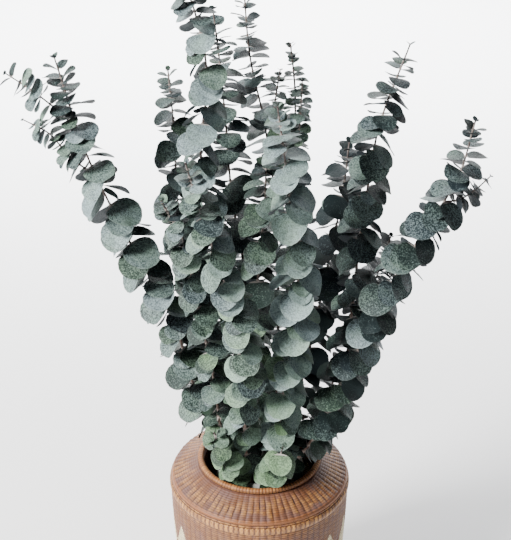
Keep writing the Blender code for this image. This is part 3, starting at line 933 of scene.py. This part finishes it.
@dataclass
class Habit:
    """How the stems grow: the sizes that the solids use, and the leaves added between them."""

    foot_radius: float = 2.1 * MM
    tip_radius: float = 0.75 * MM
    twig_radius: float = 1.0 * MM
    twig_tip: float = 0.8
    twig_start: float = 12 * MM
    twig_roll: float = 20.0
    twig_droop: float = 5.0
    tip_gap: float = 1.5 * MM
    bud_gap: float = 1 * MM
    corner: float = 1.25
    clear_step: float = 10 * MM
    foot_turn: float = math.radians(110)
    foot_spread: float = 0.9
    straight_share: float = 0.65
    foot_height: float = 8 * MM + 2 * GAP
    rim_height: float = 233 * MM
    clearance: float = 0.55 * MM
    close_clearance: float = 0.1 * MM
    low_leaf: float = 0.86
    full_share: float = 0.45
    smallest: float = 0.84
    largest: float = 1.08
    tip_leaf: float = 0.30
    tip_pitch: float = 0.64
    tip_power: float = 9.0
    pitch_power: float = 5.0
    rise_power: float = 9.0
    level_power: float = 7.0
    pair_spread: float = 9.0
    turn_spread: tuple[float, float] = (8.0, 26.0)
    droop_spread: tuple[float, float] = (12.0, 36.0)
    tilt_spread: tuple[float, float] = (16.0, 24.0)
    shrink: float = 0.4
    tip_rise: float = math.radians(-50)
    low_droop: float = 0.55
    droop_gain: float = 0.6
    tries: int = 70
    close_tries: int = 36
    between: float = 0.96
    filling: float = 0.90
    bud: float = 0.62
    lowest_leaf: float = 243 * MM

    def shoots(self, stem: Stem) -> list[Shoot]:
        """The stem's main shoot and its twigs."""
        across, along = (side * MM for side in stem.mouth)
        turn = self.foot_turn
        foot = Vector((self.foot_spread * (across * math.cos(turn) - along * math.sin(turn)),
                       self.foot_spread * (across * math.sin(turn) + along * math.cos(turn)),
                       self.foot_height))
        mouth = Vector((across, along, self.rim_height))
        route = [tuple(foot), tuple(foot.lerp(mouth, self.straight_share)), tuple(mouth)]
        axis = Axis(route + in_metres(stem.route))
        shoots = [Shoot(axis, self.foot_radius, self.tip_radius, axis.at_height(stem.first * MM),
                        stem.leaf * MM, stem.pitch * MM, stem.roll, stem.droop, True)]
        for twig in stem.twigs:
            fork = axis.at(axis.at_height(twig.height * MM))
            shoots.append(Shoot(Axis([tuple(fork)] + in_metres(twig.route)), self.twig_radius,
                                self.tip_radius * self.twig_tip, self.twig_start,
                                twig.leaf * MM, twig.leaf * MM, self.twig_roll,
                                self.twig_droop, False))
        return shoots

    def solid_tube(self, shoot: Shoot, swell: float) -> bmesh.types.BMesh:
        """The four-sided tube that stands for a shoot when leaves look for room.

        Args:
            shoot: the shoot.
            swell: how much thicker the tube is than the shoot.

        Returns:
            The tube.
        """
        quarter = math.pi / 2
        count = max(1, round(shoot.axis.length / self.clear_step))
        places = [shoot.axis.length * step / count for step in range(count + 1)]
        frames = [shoot.frame(place, quarter / 2, self.corner * (shoot.radius(place) + swell))
                  for place in places]
        return sweep(bmesh.new(), frames, 4)

    def stray(self, rng: random.Random) -> float:
        """How far a pair turns from its due place, in degrees."""
        return rng.uniform(-self.pair_spread, self.pair_spread)

    def places(self, shoot: Shoot) -> list[tuple[float, float]]:
        """The length from the foot and the share of the leafy stretch for each pair."""
        places = []
        place = shoot.start
        last = shoot.axis.length - self.tip_gap
        while place < last:
            share = (place - shoot.start) / (last - shoot.start)
            places.append((place, share))
            place += shoot.pitch * (1 - (1 - self.tip_pitch) * share**self.pitch_power)
        return places

    def size(self, shoot: Shoot, share: float) -> float:
        """A leaf's usual length at a share of the leafy stretch."""
        size = shoot.leaf * (1 - (1 - self.tip_leaf) * share**self.tip_power)
        return size * (self.low_leaf + (1 - self.low_leaf) * min(1, share / self.full_share))

    def droop(self, shoot: Shoot, share: float) -> float:
        """How far a leaf hangs at a share of the leafy stretch, in radians."""
        hang = math.radians(shoot.droop) * (self.low_droop + self.droop_gain * share)
        hang *= 1 - share**self.level_power
        return hang + self.tip_rise * share**self.rise_power

    def leaf_frame(self, shoot: Shoot, place: float, turn: float, droop: float,
                   tilt: float) -> Matrix:
        """The leaf's own frame: +X from root to apex, +Z its upper side.

        Args:
            shoot: the shoot that it grows on.
            place: the length from the shoot's foot.
            turn: its turn round the shoot.
            droop: how far it hangs.
            tilt: its tilt about its own rib.

        Returns:
            The frame.
        """
        growth = shoot.axis.heading(place)
        toward = (VIEWER - VIEWER.dot(growth) * growth).normalized()
        out = Matrix.Rotation(turn, 3, growth) @ toward
        side = growth.cross(out)
        rib = math.cos(droop) * out - math.sin(droop) * growth
        face = math.cos(droop) * growth + math.sin(droop) * out
        roll = Matrix.Rotation(tilt, 3, rib)
        there = Matrix((rib, roll @ side, roll @ face)).transposed().to_4x4()
        there.translation = shoot.axis.at(place) + shoot.radius(place) * out
        return there


def sweep(bm: bmesh.types.BMesh, frames: Sequence[Matrix], sides: int) -> bmesh.types.BMesh:
    """Sweep a circle through frames, as a tube with closed ends.

    Args:
        bm: the mesh that the tube is added to.
        frames: one for each circle, scaled to its radius.
        sides: the number of sides.

    Returns:
        The same mesh.
    """
    made = bmesh.ops.create_circle(bm, segments=sides, radius=1.0, cap_ends=True,
                                   matrix=frames[0])
    edges = list({edge for vert in made["verts"] for edge in vert.link_edges})
    for before, there in zip(frames, frames[1:]):
        made = bmesh.ops.extrude_edge_only(bm, edges=edges)["geom"]
        verts = [item for item in made if isinstance(item, bmesh.types.BMVert)]
        fresh = set(verts)
        edges = [item for item in made if isinstance(item, bmesh.types.BMEdge)
                 and all(vert in fresh for vert in item.verts)]
        bmesh.ops.transform(bm, matrix=there @ before.inverted(), verts=verts)
    bmesh.ops.contextual_create(bm, geom=edges)
    return bm


def marked_tube(shoot: Shoot, nodes: Sequence[float]) -> bmesh.types.BMesh:
    """A stem or twig as a round tapered tube that swells a little at its nodes.

    Args:
        shoot: the shoot.
        nodes: the lengths of its nodes.

    Returns:
        The tube, with its place along the stem and nearness to a node on its vertices.
    """
    step = 8 * MM
    sides = 8
    beside = 1.6 * MM
    spread = 1.5 * MM
    swelling = 0.35
    length = shoot.axis.length
    count = max(2, round(length / step))
    places = {length * index / count for index in range(count + 1)}
    for node in nodes:
        places.update((node - beside, node, node + beside))
    ordered = sorted(place for place in places if 0 <= place <= length)
    near = [min(1.0, sum(math.exp(-((place - node) / spread) ** 2) for node in nodes))
            for place in ordered]
    bm = sweep(bmesh.new(), [shoot.frame(place, 0.0, shoot.radius(place) * (1 + swelling * swell))
                             for place, swell in zip(ordered, near)], sides)
    along = bm.verts.layers.float.new(Mark.ALONG.value)
    at_node = bm.verts.layers.float.new(Mark.NODE.value)
    bm.verts.ensure_lookup_table()
    for index, vert in enumerate(bm.verts):
        ring = min(index // sides, len(ordered) - 1)
        vert[along] = ordered[ring] / length if shoot.cut_level else 1.0
        vert[at_node] = near[ring]
    bmesh.ops.recalc_face_normals(bm, faces=bm.faces)
    return bm


class Node(NamedTuple):
    """Where a pair grows: its length from the foot, share of the leafy stretch, and turn."""

    place: float
    share: float
    turn: float


def runs(seed: int) -> list[tuple[Stem, random.Random]]:
    """Each stem with its own run of chance."""
    return [(stem, random.Random(seed + number)) for number, stem in enumerate(STEMS)]


class Bouquet:
    """All the stems: their leaves and their wood."""

    SEED = 100
    BETWEEN_SEED = 500
    FILLING_SEED = 700
    FINISH_SEED = 900
    PALEST = 0.74
    # painted shade: how much darker the leaves low on each stem are set
    LOW_PAINTED_SHADE = 0.26
    TIP_SHADE = 0.34
    SHADE_SPREAD = 0.19
    LOW_GREEN = 0.30
    GREEN_SPREAD = 0.16

    def __init__(self, habit: Habit, blade: Blade, fixed: Sequence[BVHTree]) -> None:
        """Draw the shoots, which have no leaves yet.

        Args:
            habit: the way the stems grow.
            blade: the leaf's shape.
            fixed: the vase's pieces that leaves stay off.
        """
        self.habit = habit
        self.blade = blade
        self.leaf_finish = WaxyLeaf().build()
        self.bark = StemBark().build()
        self.shoots = {stem.name: habit.shoots(stem) for stem in STEMS}
        self.leaves: dict[str, list[Leaf]] = {stem.name: [] for stem in STEMS}
        self.pairs: dict[str, list[list[Node]]] = {stem.name: [] for stem in STEMS}
        self.nodes: dict[str, list[list[float]]] = {stem.name: [] for stem in STEMS}
        self.growing = Growing(blade, fixed)
        for name, shoots in self.shoots.items():
            self.growing.stems[name] = tree_of(habit.solid_tube(shoots[0], habit.clearance))

    def pair(self, stem: Stem, shoot: Shoot, rng: random.Random, node: Node, scale: float,
             close: bool = True) -> bool:
        """Grow one pair of opposite leaves, each bent clear of what is there.

        Args:
            stem: the stem.
            shoot: the shoot of it that they grow on.
            rng: the run of chance.
            node: where they grow.
            scale: their size against the usual one.
            close: whether they may stand closer than the solids' leaves.

        Returns:
            Whether any found room.
        """
        habit = self.habit
        tries = habit.close_tries if close else habit.tries
        swell = habit.close_clearance if close else habit.clearance
        size = habit.size(shoot, node.share) * scale
        droop = habit.droop(shoot, node.share)
        found = False
        for half in (0, math.pi):
            for attempt in range(tries):
                loose = attempt / tries
                turn = node.turn + half + strayed(rng, habit.turn_spread, loose)
                hang = droop + strayed(rng, habit.droop_spread, loose)
                tilt = strayed(rng, habit.tilt_spread, loose)
                length = size * rng.uniform(habit.smallest, habit.largest)
                length *= 1 - habit.shrink * loose
                there = habit.leaf_frame(shoot, node.place, turn, hang, tilt)
                if self.growing.clear(stem.name, there, length, swell):
                    self.growing.add(there, length)
                    self.leaves[stem.name].append(Leaf(there, length, node.share))
                    found = True
                    break
        return found

    def grow(self) -> None:
        """Place every leaf: the solids' own, those between them, and the last small ones."""
        habit = self.habit
        for stem, rng in runs(self.SEED):
            for shoot in self.shoots[stem.name]:
                run = []
                for count, (place, share) in enumerate(habit.places(shoot)):
                    turn = shoot.roll + 90 * count + habit.stray(rng)
                    run.append(Node(place, share, math.radians(turn)))
                    self.pair(stem, shoot, rng, run[-1], 1.0, close=False)
                self.pairs[stem.name].append(run)
        solid = sum(len(leaves) for leaves in self.leaves.values())
        for stem, rng in runs(self.BETWEEN_SEED):
            for shoot, run in zip(self.shoots[stem.name], self.pairs[stem.name]):
                nodes = [node.place for node in run]
                self.low_leaves(stem, shoot, rng, nodes)
                for low, high in zip(run, run[1:]):
                    nodes.append((low.place + high.place) / 2)
                    middle = Node(nodes[-1], (low.share + high.share) / 2,
                                  low.turn + self.half_turn(rng))
                    self.pair(stem, shoot, rng, middle, habit.between)
                bud = Node(shoot.axis.length - habit.bud_gap, 1.0, rng.uniform(0, math.tau))
                self.pair(stem, shoot, rng, bud, habit.bud)
                self.nodes[stem.name].append(nodes)
        self.fill()
        LOG.info("%d leaves of the solids, %d in all", solid,
                 sum(len(leaves) for leaves in self.leaves.values()))

    def half_turn(self, rng: random.Random) -> float:
        """The turn from a pair of the solids to one between, by chance a little more or less."""
        return math.radians(45 + self.habit.stray(rng))

    def low_leaves(self, stem: Stem, shoot: Shoot, rng: random.Random,
                   nodes: list[float]) -> None:
        """Grow leaves below the solids' first pair, down to the mouth.

        Args:
            stem: the stem.
            shoot: its main shoot or a twig, which gets none.
            rng: the run of chance.
            nodes: the shoot's nodes, to which the new ones are added.
        """
        if not shoot.cut_level:
            return
        place = shoot.start - shoot.pitch / 2
        turn = math.radians(shoot.roll)
        while shoot.axis.at(place).z > self.habit.lowest_leaf:
            turn += self.half_turn(rng)
            if self.pair(stem, shoot, rng, Node(place, 0.0, turn), self.habit.between):
                nodes.append(place)
            place -= shoot.pitch / 2

    def fill(self) -> None:
        """Grow a last, smaller pair beside each node, where there is still room."""
        for stem, rng in runs(self.FILLING_SEED):
            for shoot, run, nodes in zip(self.shoots[stem.name], self.pairs[stem.name],
                                         self.nodes[stem.name]):
                for low, high in zip(run, run[1:]):
                    place = low.place + (high.place - low.place) * rng.choice((0.25, 0.75))
                    beside = Node(place, (low.share + high.share) / 2,
                                  low.turn + self.half_turn(rng) / 2)
                    if self.pair(stem, shoot, rng, beside, self.habit.filling):
                        nodes.append(place)

    def dress(self) -> None:
        """Build every stem's leaves, and its wood with its twigs."""
        for number, stem in enumerate(STEMS):
            rng = np.random.default_rng(self.FINISH_SEED + number)
            leaves = self.leaves[stem.name]
            share = np.array([leaf.share for leaf in leaves])
            low = (1 - share) ** 2
            # painted shade: low leaves are set darker, and the stems at the right come in darker
            # through their bloom; the dark tips and the spread are the leaves' own tone
            bloom = stem.bloom - self.LOW_PAINTED_SHADE * low - self.TIP_SHADE * share**6
            bloom = bloom + rng.normal(0.0, self.SHADE_SPREAD, len(leaves))
            green = stem.green + self.LOW_GREEN * low
            green = green + rng.normal(0.0, self.GREEN_SPREAD, len(leaves))
            self.blade.piece(f"{stem.name}_leaves", stem.name, leaves,
                             np.minimum(bloom, self.PALEST), np.clip(green, 0.0, 1.0),
                             self.leaf_finish, rng)
            whole = bmesh.new()
            for shoot, nodes in zip(self.shoots[stem.name], self.nodes[stem.name]):
                absorb(whole, marked_tube(shoot, nodes))
            smooth(whole)
            add_piece(f"{stem.name}_wood", whole, self.bark, [stem.name])


Profile = Sequence[tuple[float, float]]


def lathe(profile: Profile, steps: int, closed: bool) -> bmesh.types.BMesh:
    """Turn a profile of radius and height round Z.

    Args:
        profile: the points of the section.
        steps: the number of steps of the full turn.
        closed: whether the section is closed, as a ring's is.

    Returns:
        The turned mesh.
    """
    sectors = 8
    weld = 0.01 * MM
    bm = bmesh.new()
    verts = [bm.verts.new((radius, 0, height)) for radius, height in profile]
    edges = [bm.edges.new(pair) for pair in zip(verts, verts[1:])]
    if closed:
        edges.append(bm.edges.new((verts[-1], verts[0])))
    bmesh.ops.spin(bm, geom=verts + edges, axis=(0, 0, 1), cent=(0, 0, 0),
                   angle=math.tau / sectors, steps=steps // sectors)
    turned = math.tau / sectors
    while turned < math.tau * 0.9:
        whole = list(bm.verts) + list(bm.edges) + list(bm.faces)
        copied = bmesh.ops.duplicate(bm, geom=whole)["geom"]
        fresh = [item for item in copied if isinstance(item, bmesh.types.BMVert)]
        bmesh.ops.rotate(bm, verts=fresh, cent=(0, 0, 0), matrix=Matrix.Rotation(turned, 3, "Z"))
        turned *= 2
    bmesh.ops.remove_doubles(bm, verts=bm.verts, dist=weld)
    bmesh.ops.recalc_face_normals(bm, faces=bm.faces)
    return bm


class Relief(NamedTuple):
    """How far stakes and cane stand out, and the shares of it outwards and upwards."""

    stake: float
    cane: float
    outwards: float
    upwards: float


class Weave:
    """A turned piece with a woven face: cane rises over every other stake that it passes."""

    def __init__(self, name: str, node: str, zone: Zone, bm: bmesh.types.BMesh,
                 stakes: int) -> None:
        """Add the piece and read its shape.

        Args:
            name: the piece's name.
            node: the CAD node that it replaces.
            zone: its part of the vase.
            bm: its turned mesh, which is freed.
            stakes: how many stakes go round.
        """
        made = add_piece(name, bm, WovenCane(zone).build(), [node])
        self.mesh = made.data
        self.stakes = stakes
        self.points = read(self.mesh.vertices, "co", float, 3).reshape(-1, 3)
        self.radius = np.hypot(self.points[:, 0], self.points[:, 1])
        self.height = self.points[:, 2].copy()

    def push(self, row: np.ndarray, woven: Union[np.ndarray, float], relief: Relief) -> None:
        """Push the weave out, and count its stakes and rows in a UV map.

        Args:
            row: the row of cane that each vertex is in.
            woven: 1 where the surface is woven and 0 where it isn't.
            relief: how far the weave stands out.
        """
        points = self.points
        angle = np.mod(np.arctan2(points[:, 1], points[:, 0]), math.tau)
        stake = angle * self.stakes / math.tau
        corner_vert = read(self.mesh.loops, "vertex_index")
        starts = read(self.mesh.polygons, "loop_start")
        turn = stake[corner_vert]
        span = np.maximum.reduceat(turn, starts) - np.minimum.reduceat(turn, starts)
        wide = np.repeat(span > self.stakes / 2, read(self.mesh.polygons, "loop_total"))
        turn = np.where(wide & (turn < self.stakes / 2), turn + self.stakes, turn)
        layer = self.mesh.uv_layers.new(name="weave")
        layer.data.foreach_set("uv", np.stack([turn, row[corner_vert]], axis=1).ravel())

        over = np.cos(math.pi * (stake - 0.5 + np.floor(row)))
        cane = (1 - (2 * np.mod(row, 1) - 1) ** 2) * (0.65 + 0.35 * over)
        post = np.abs(np.sin(math.pi * stake))
        rise = woven * (relief.cane * cane + relief.stake * post)
        flat = points[:, :2] / np.maximum(self.radius, 1e-6)[:, None]
        points[:, :2] += flat * (rise * relief.outwards)[:, None]
        points[:, 2] += rise * relief.upwards
        self.mesh.vertices.foreach_set("co", points.ravel())
        self.mesh.update()
        self.mesh.shade_smooth()


@dataclass
class Vase:
    """The woven vase: wall, shoulder, mouth ring, bands and liner."""

    height: float = 240 * MM
    base_radius: float = 83 * MM
    shoulder_radius: float = 99 * MM
    shoulder_edge: float = 216.5 * MM
    wall: float = 5 * MM
    floor: float = 6 * MM
    ring_inner: float = 62 * MM
    ring_outer: float = 69 * MM
    ring_depth: float = 6 * MM
    band_drop: float = 3 * MM
    band_height: float = 8 * MM
    band_depth: float = 2.2 * MM
    foot_band_height: float = 12 * MM
    shoulder_thickness: float = 3.5 * MM
    shoulder_roll: float = 1.5 * MM
    liner_radius: float = 48 * MM
    liner_wall: float = 2 * MM
    liner_heel: float = 3 * MM
    liner_rim: float = 233 * MM
    solid_steps: int = 40
    solid_ring_sides: int = 6
    steps_a_stake: int = 6
    edge_gap: float = 0.5 * MM
    face_gap: float = 0.3 * MM
    stakes: int = 80
    mouth_wraps: int = 120
    mouth_sides: int = 14
    shoulder_rows: int = 12
    row_pitch: float = 2.6 * MM
    wall_relief: Relief = Relief(0.35 * MM, 0.65 * MM, 1.0, 0.0)
    shoulder_relief: Relief = Relief(0.8 * MM, 0.35 * MM, 0.55, 0.83)
    mouth_relief: Relief = Relief(0.55 * MM, 0.0, 0.6, 0.6)
    least_relief: float = 0.3
    liner_steps: int = 96
    liner_round: float = 0.7 * MM

    def wall_radius(self, height: Union[float, np.ndarray]) -> Union[float, np.ndarray]:
        """Outer radius of the wall at a height: widest at the shoulder, with a soft belly."""
        rise = height / self.shoulder_edge
        return self.base_radius + (self.shoulder_radius - self.base_radius) * np.sin(
            rise * math.pi / 2)

    def shoulder_section(self) -> list[tuple[float, float]]:
        """The section of the solid shoulder."""
        top = self.shoulder_edge
        slope_top = self.height - self.ring_depth - GAP
        lip = self.ring_inner + GAP
        return [(self.shoulder_radius, top + GAP),
                (self.shoulder_radius - self.shoulder_roll, top + 2 * self.shoulder_roll),
                (self.ring_outer, slope_top), (lip, slope_top),
                (lip, slope_top - self.shoulder_thickness),
                (self.shoulder_radius - self.wall, top + GAP)]

    def ring_section(self, sides: int) -> list[tuple[float, float]]:
        """The section of the mouth ring, with a number of sides."""
        middle = (self.ring_inner + self.ring_outer) / 2
        half = (self.ring_outer - self.ring_inner) / 2
        low = self.height - self.ring_depth
        reach = math.sin(math.pi / 3) if sides == self.solid_ring_sides else 1.0
        turns = [step * math.tau / sides for step in range(sides)]
        return [(middle + half * math.cos(turn),
                 low + self.ring_depth * (1 + math.sin(turn) / reach) / 2) for turn in turns]

    def liner_section(self) -> list[tuple[float, float]]:
        """The section of the liner, from the middle of its underside round to its floor."""
        low = self.floor + GAP
        floor = low + self.liner_wall
        inside = self.liner_radius - self.liner_wall
        return [(0, low), (self.liner_radius - self.liner_heel, low),
                (self.liner_radius, low + self.liner_heel), (self.liner_radius, self.liner_rim),
                (inside, self.liner_rim), (inside, floor + self.liner_wall),
                (inside - self.liner_wall, floor), (0, floor)]

    def obstacles(self) -> list[BVHTree]:
        """The solid shoulder, mouth ring and liner, which the leaves stay off."""
        ring = self.ring_section(self.solid_ring_sides)
        return [tree_of(lathe(section, self.solid_steps, closed)) for section, closed in (
            (self.shoulder_section(), True), (ring, True), (self.liner_section(), False))]

    def build(self) -> None:
        """Build every piece of the vase."""
        self.build_wall()
        self.build_shoulder()
        self.build_mouth()
        self.build_plait()
        self.build_foot()
        self.build_liner()

    def build_wall(self) -> None:
        """The woven wall with its floor; its rows are counted down from the shoulder."""
        top = self.shoulder_edge
        rows = round(top / self.row_pitch) * 2
        outer = [(self.wall_radius(top * step / rows), top * step / rows)
                 for step in range(rows + 1)]
        inner = [(self.wall_radius(top * step / 2) - self.wall, max(top * step / 2, self.floor))
                 for step in (2, 1, 0)]
        bm = lathe([(0, 0)] + outer + inner + [(0, self.floor)],
                   self.stakes * self.steps_a_stake, False)
        weave = Weave("vase_wall_woven", "vase_wall", Zone.WALL, bm, self.stakes)
        height = weave.height
        outside = weave.radius > self.wall_radius(height) - self.edge_gap
        outside &= (height > self.edge_gap) & (height < top - self.edge_gap)
        weave.push((top - height) * rows / 2 / top, outside, self.wall_relief)

    def build_shoulder(self) -> None:
        """The woven shoulder, whose relief dies away up the slope towards the mouth."""
        edge, roll, ring, lip, under, inner = self.shoulder_section()
        steps = self.shoulder_rows * 2
        slope = [(roll[0] + (ring[0] - roll[0]) * step / steps,
                  roll[1] + (ring[1] - roll[1]) * step / steps) for step in range(steps + 1)]
        bm = lathe([edge] + slope + [lip, under, inner], self.stakes * self.steps_a_stake, True)
        weave = Weave("vase_shoulder_woven", "vase_shoulder", Zone.SHOULDER, bm, self.stakes)
        radius = weave.radius
        run = roll[0] - ring[0]
        face = np.interp(radius, [ring[0], roll[0]], [ring[1], roll[1]])
        outside = (weave.height > face - self.face_gap) & (radius < roll[0] - self.edge_gap)
        outside &= radius > ring[0] + self.edge_gap
        fade = np.clip((radius - ring[0]) / run, 0.0, 1.0)
        fade = self.least_relief + (1 - self.least_relief) * fade
        row = (roll[0] - radius) / run * self.shoulder_rows
        weave.push(row, outside * fade, self.shoulder_relief)

    def build_mouth(self) -> None:
        """The ring round the mouth, wound with narrow cane all over."""
        bm = lathe(self.ring_section(self.mouth_sides), self.mouth_wraps * 4, True)
        weave = Weave("mouth_ring_bound", "mouth_ring", Zone.BINDING, bm, self.mouth_wraps)
        away = weave.radius - (self.ring_inner + self.ring_outer) / 2
        above = weave.height - (self.height - self.ring_depth / 2)
        weave.push(np.arctan2(above, away) / math.pi + 1.0, 1.0, self.mouth_relief)

    def strands(self, name: str, node: str, finish: bpy.types.Material,
                radius: float, middle: float, swing: float, thick: tuple[float, float],
                count: int, periods: int) -> None:
        """A band of strands that weave over and under each other round the vase.

        Args:
            name: the piece's name.
            node: the CAD node that it replaces.
            finish: its material.
            radius: the radius of the band's middle.
            middle: its height.
            swing: how far each strand goes up and down.
            thick: half the strand's thickness outwards, and half its width.
            count: the number of strands.
            periods: the number of swings round the vase.
        """
        sides = 8
        thin = 0.1
        lap = 0.62
        whole = bmesh.new()
        section = [(1 + thin * math.cos(step * math.tau / sides),
                    thin * math.sin(step * math.tau / sides)) for step in range(sides)]
        for strand in range(count):
            bm = lathe(section, periods * 8, True)
            for vert in bm.verts:
                turn = math.atan2(vert.co.y, vert.co.x)
                outward = (vert.co.xy.length - 1) / thin * thick[0]
                upward = vert.co.z / thin * thick[1]
                phase = turn * periods + math.tau * strand / count
                slope = swing * periods * math.cos(phase) / radius
                steep = math.hypot(1, slope)
                vert.co = Matrix.Rotation(turn, 3, "Z") @ Vector(
                    (radius + thick[0] * lap * math.cos(2 * phase) + outward,
                     -upward * slope / steep,
                     middle + swing * math.sin(phase) + upward / steep))
            absorb(whole, bm)
        bmesh.ops.recalc_face_normals(whole, faces=whole.faces)
        smooth(whole)
        add_piece(name, whole, finish, [node])

    def build_plait(self) -> None:
        """The golden plait under the shoulder's edge."""
        finish = PlaitedCane("golden_plait", light=(0.52, 0.24, 0.062),
                             dark=(0.130, 0.050, 0.021), wraps=112.0).build()
        top = self.shoulder_edge - self.band_drop
        self.strands("plaited_band_strands", "plaited_band", finish,
                     radius=self.shoulder_radius + 1.1 * MM, middle=top - self.band_height / 2,
                     swing=2.9 * MM, thick=(0.7 * MM, 1.9 * MM), count=3, periods=54)

    def build_foot(self) -> None:
        """The twisted band round the foot."""
        finish = PlaitedCane("foot_cane", light=(0.28, 0.12, 0.05), dark=(0.08, 0.035, 0.02),
                             wraps=90.0).build()
        radius = self.wall_radius(self.foot_band_height) + GAP + self.band_depth / 2
        self.strands("foot_band_strands", "foot_band", finish, radius=radius,
                     middle=self.foot_band_height / 2 + GAP, swing=3.4 * MM,
                     thick=(1.0 * MM, 2.0 * MM), count=3, periods=40)

    def build_liner(self) -> None:
        """The plastic liner, with a rounded rim."""
        bm = lathe(self.liner_section(), self.liner_steps, False)
        rim = [edge for edge in bm.edges
               if all(vert.co.z > self.liner_rim - 0.1 * MM for vert in edge.verts)
               and abs(edge.verts[0].co.xy.length - edge.verts[1].co.xy.length) < 0.1 * MM]
        bmesh.ops.bevel(bm, geom=rim, offset=self.liner_round, offset_type="OFFSET", segments=2,
                        profile=0.5, affect="EDGES", material=-1)
        made = add_piece("vase_liner_turned", bm, LinerPlastic().build(), ["vase_liner"])
        made.data.shade_smooth()
        made.data.set_sharp_from_angle(angle=math.radians(40))


class Light(NamedTuple):
    """A soft square light: its place, aim and side in metres, its power in watts, its colour."""

    name: str
    place: Point
    aim: Point
    side: float
    power: float
    colour: Colour


@dataclass
class Studio:
    """The pale floor, the soft lights and the camera."""

    floor_size: float = 9.0
    key: Light = Light("key_left", (-2.0, -1.3, 1.75), (0.0, 0.0, 0.45), 0.9, 265.0,
                       (1.0, 0.985, 0.96))
    behind: Light = Light("floor_behind", (-0.1, 3.0, 1.3), (-0.1, 3.0, 0.0), 3.4, 460.0,
                          (0.98, 0.99, 1.0))
    air: Colour = (0.92, 0.95, 1.0)
    air_strength: float = 0.14
    camera_place: Point = (-0.0045, -1.1065, 1.0299)
    camera_fall: float = 26.85
    lens: float = 80.0

    def floor(self) -> None:
        """A plain pale floor under the vase."""
        bm = bmesh.new()
        bmesh.ops.create_grid(bm, x_segments=1, y_segments=1, size=self.floor_size / 2)
        mesh = bpy.data.meshes.new("studio_floor")
        bm.to_mesh(mesh)
        bm.free()
        mesh.materials.append(PaleFloor().build())
        made = show("studio_floor", mesh)

    def lights(self) -> None:
        """A soft key from the upper left, a broad light low over the floor behind, and the air."""
        for light in (self.key, self.behind):
            data = bpy.data.lights.new(light.name, "AREA")
            data.size = light.side
            data.energy = light.power
            data.color = light.colour
            lamp = show(light.name, data)
            lamp.location = light.place
            look = Vector(light.aim) - Vector(light.place)
            lamp.rotation_euler = look.to_track_quat("-Z", "Y").to_euler()
        world = bpy.data.worlds.new("studio_air")
        world.use_nodes = True
        air = world.node_tree.nodes["Background"]
        air.inputs["Color"].default_value = (*self.air, 1.0)
        air.inputs["Strength"].default_value = self.air_strength
        bpy.context.scene.world = world

    def camera(self) -> None:
        """The photograph's camera."""
        data = bpy.data.cameras.new("photo_camera")
        data.lens = self.lens
        made = show("photo_camera", data)
        made.location = self.camera_place
        made.rotation_euler = (math.radians(90 - self.camera_fall), 0, 0)
        bpy.context.scene.camera = made


def main() -> None:
    """Build the vase, the stems and the studio."""
    logging.basicConfig(level=logging.INFO, format="%(name)s: %(message)s")
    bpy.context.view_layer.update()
    vase = Vase()
    vase.build()
    bouquet = Bouquet(Habit(), Blade(), vase.obstacles())
    bouquet.grow()
    bouquet.dress()
    studio = Studio()
    studio.floor()
    studio.lights()
    studio.camera()


if __name__ == "__main__":
    main()
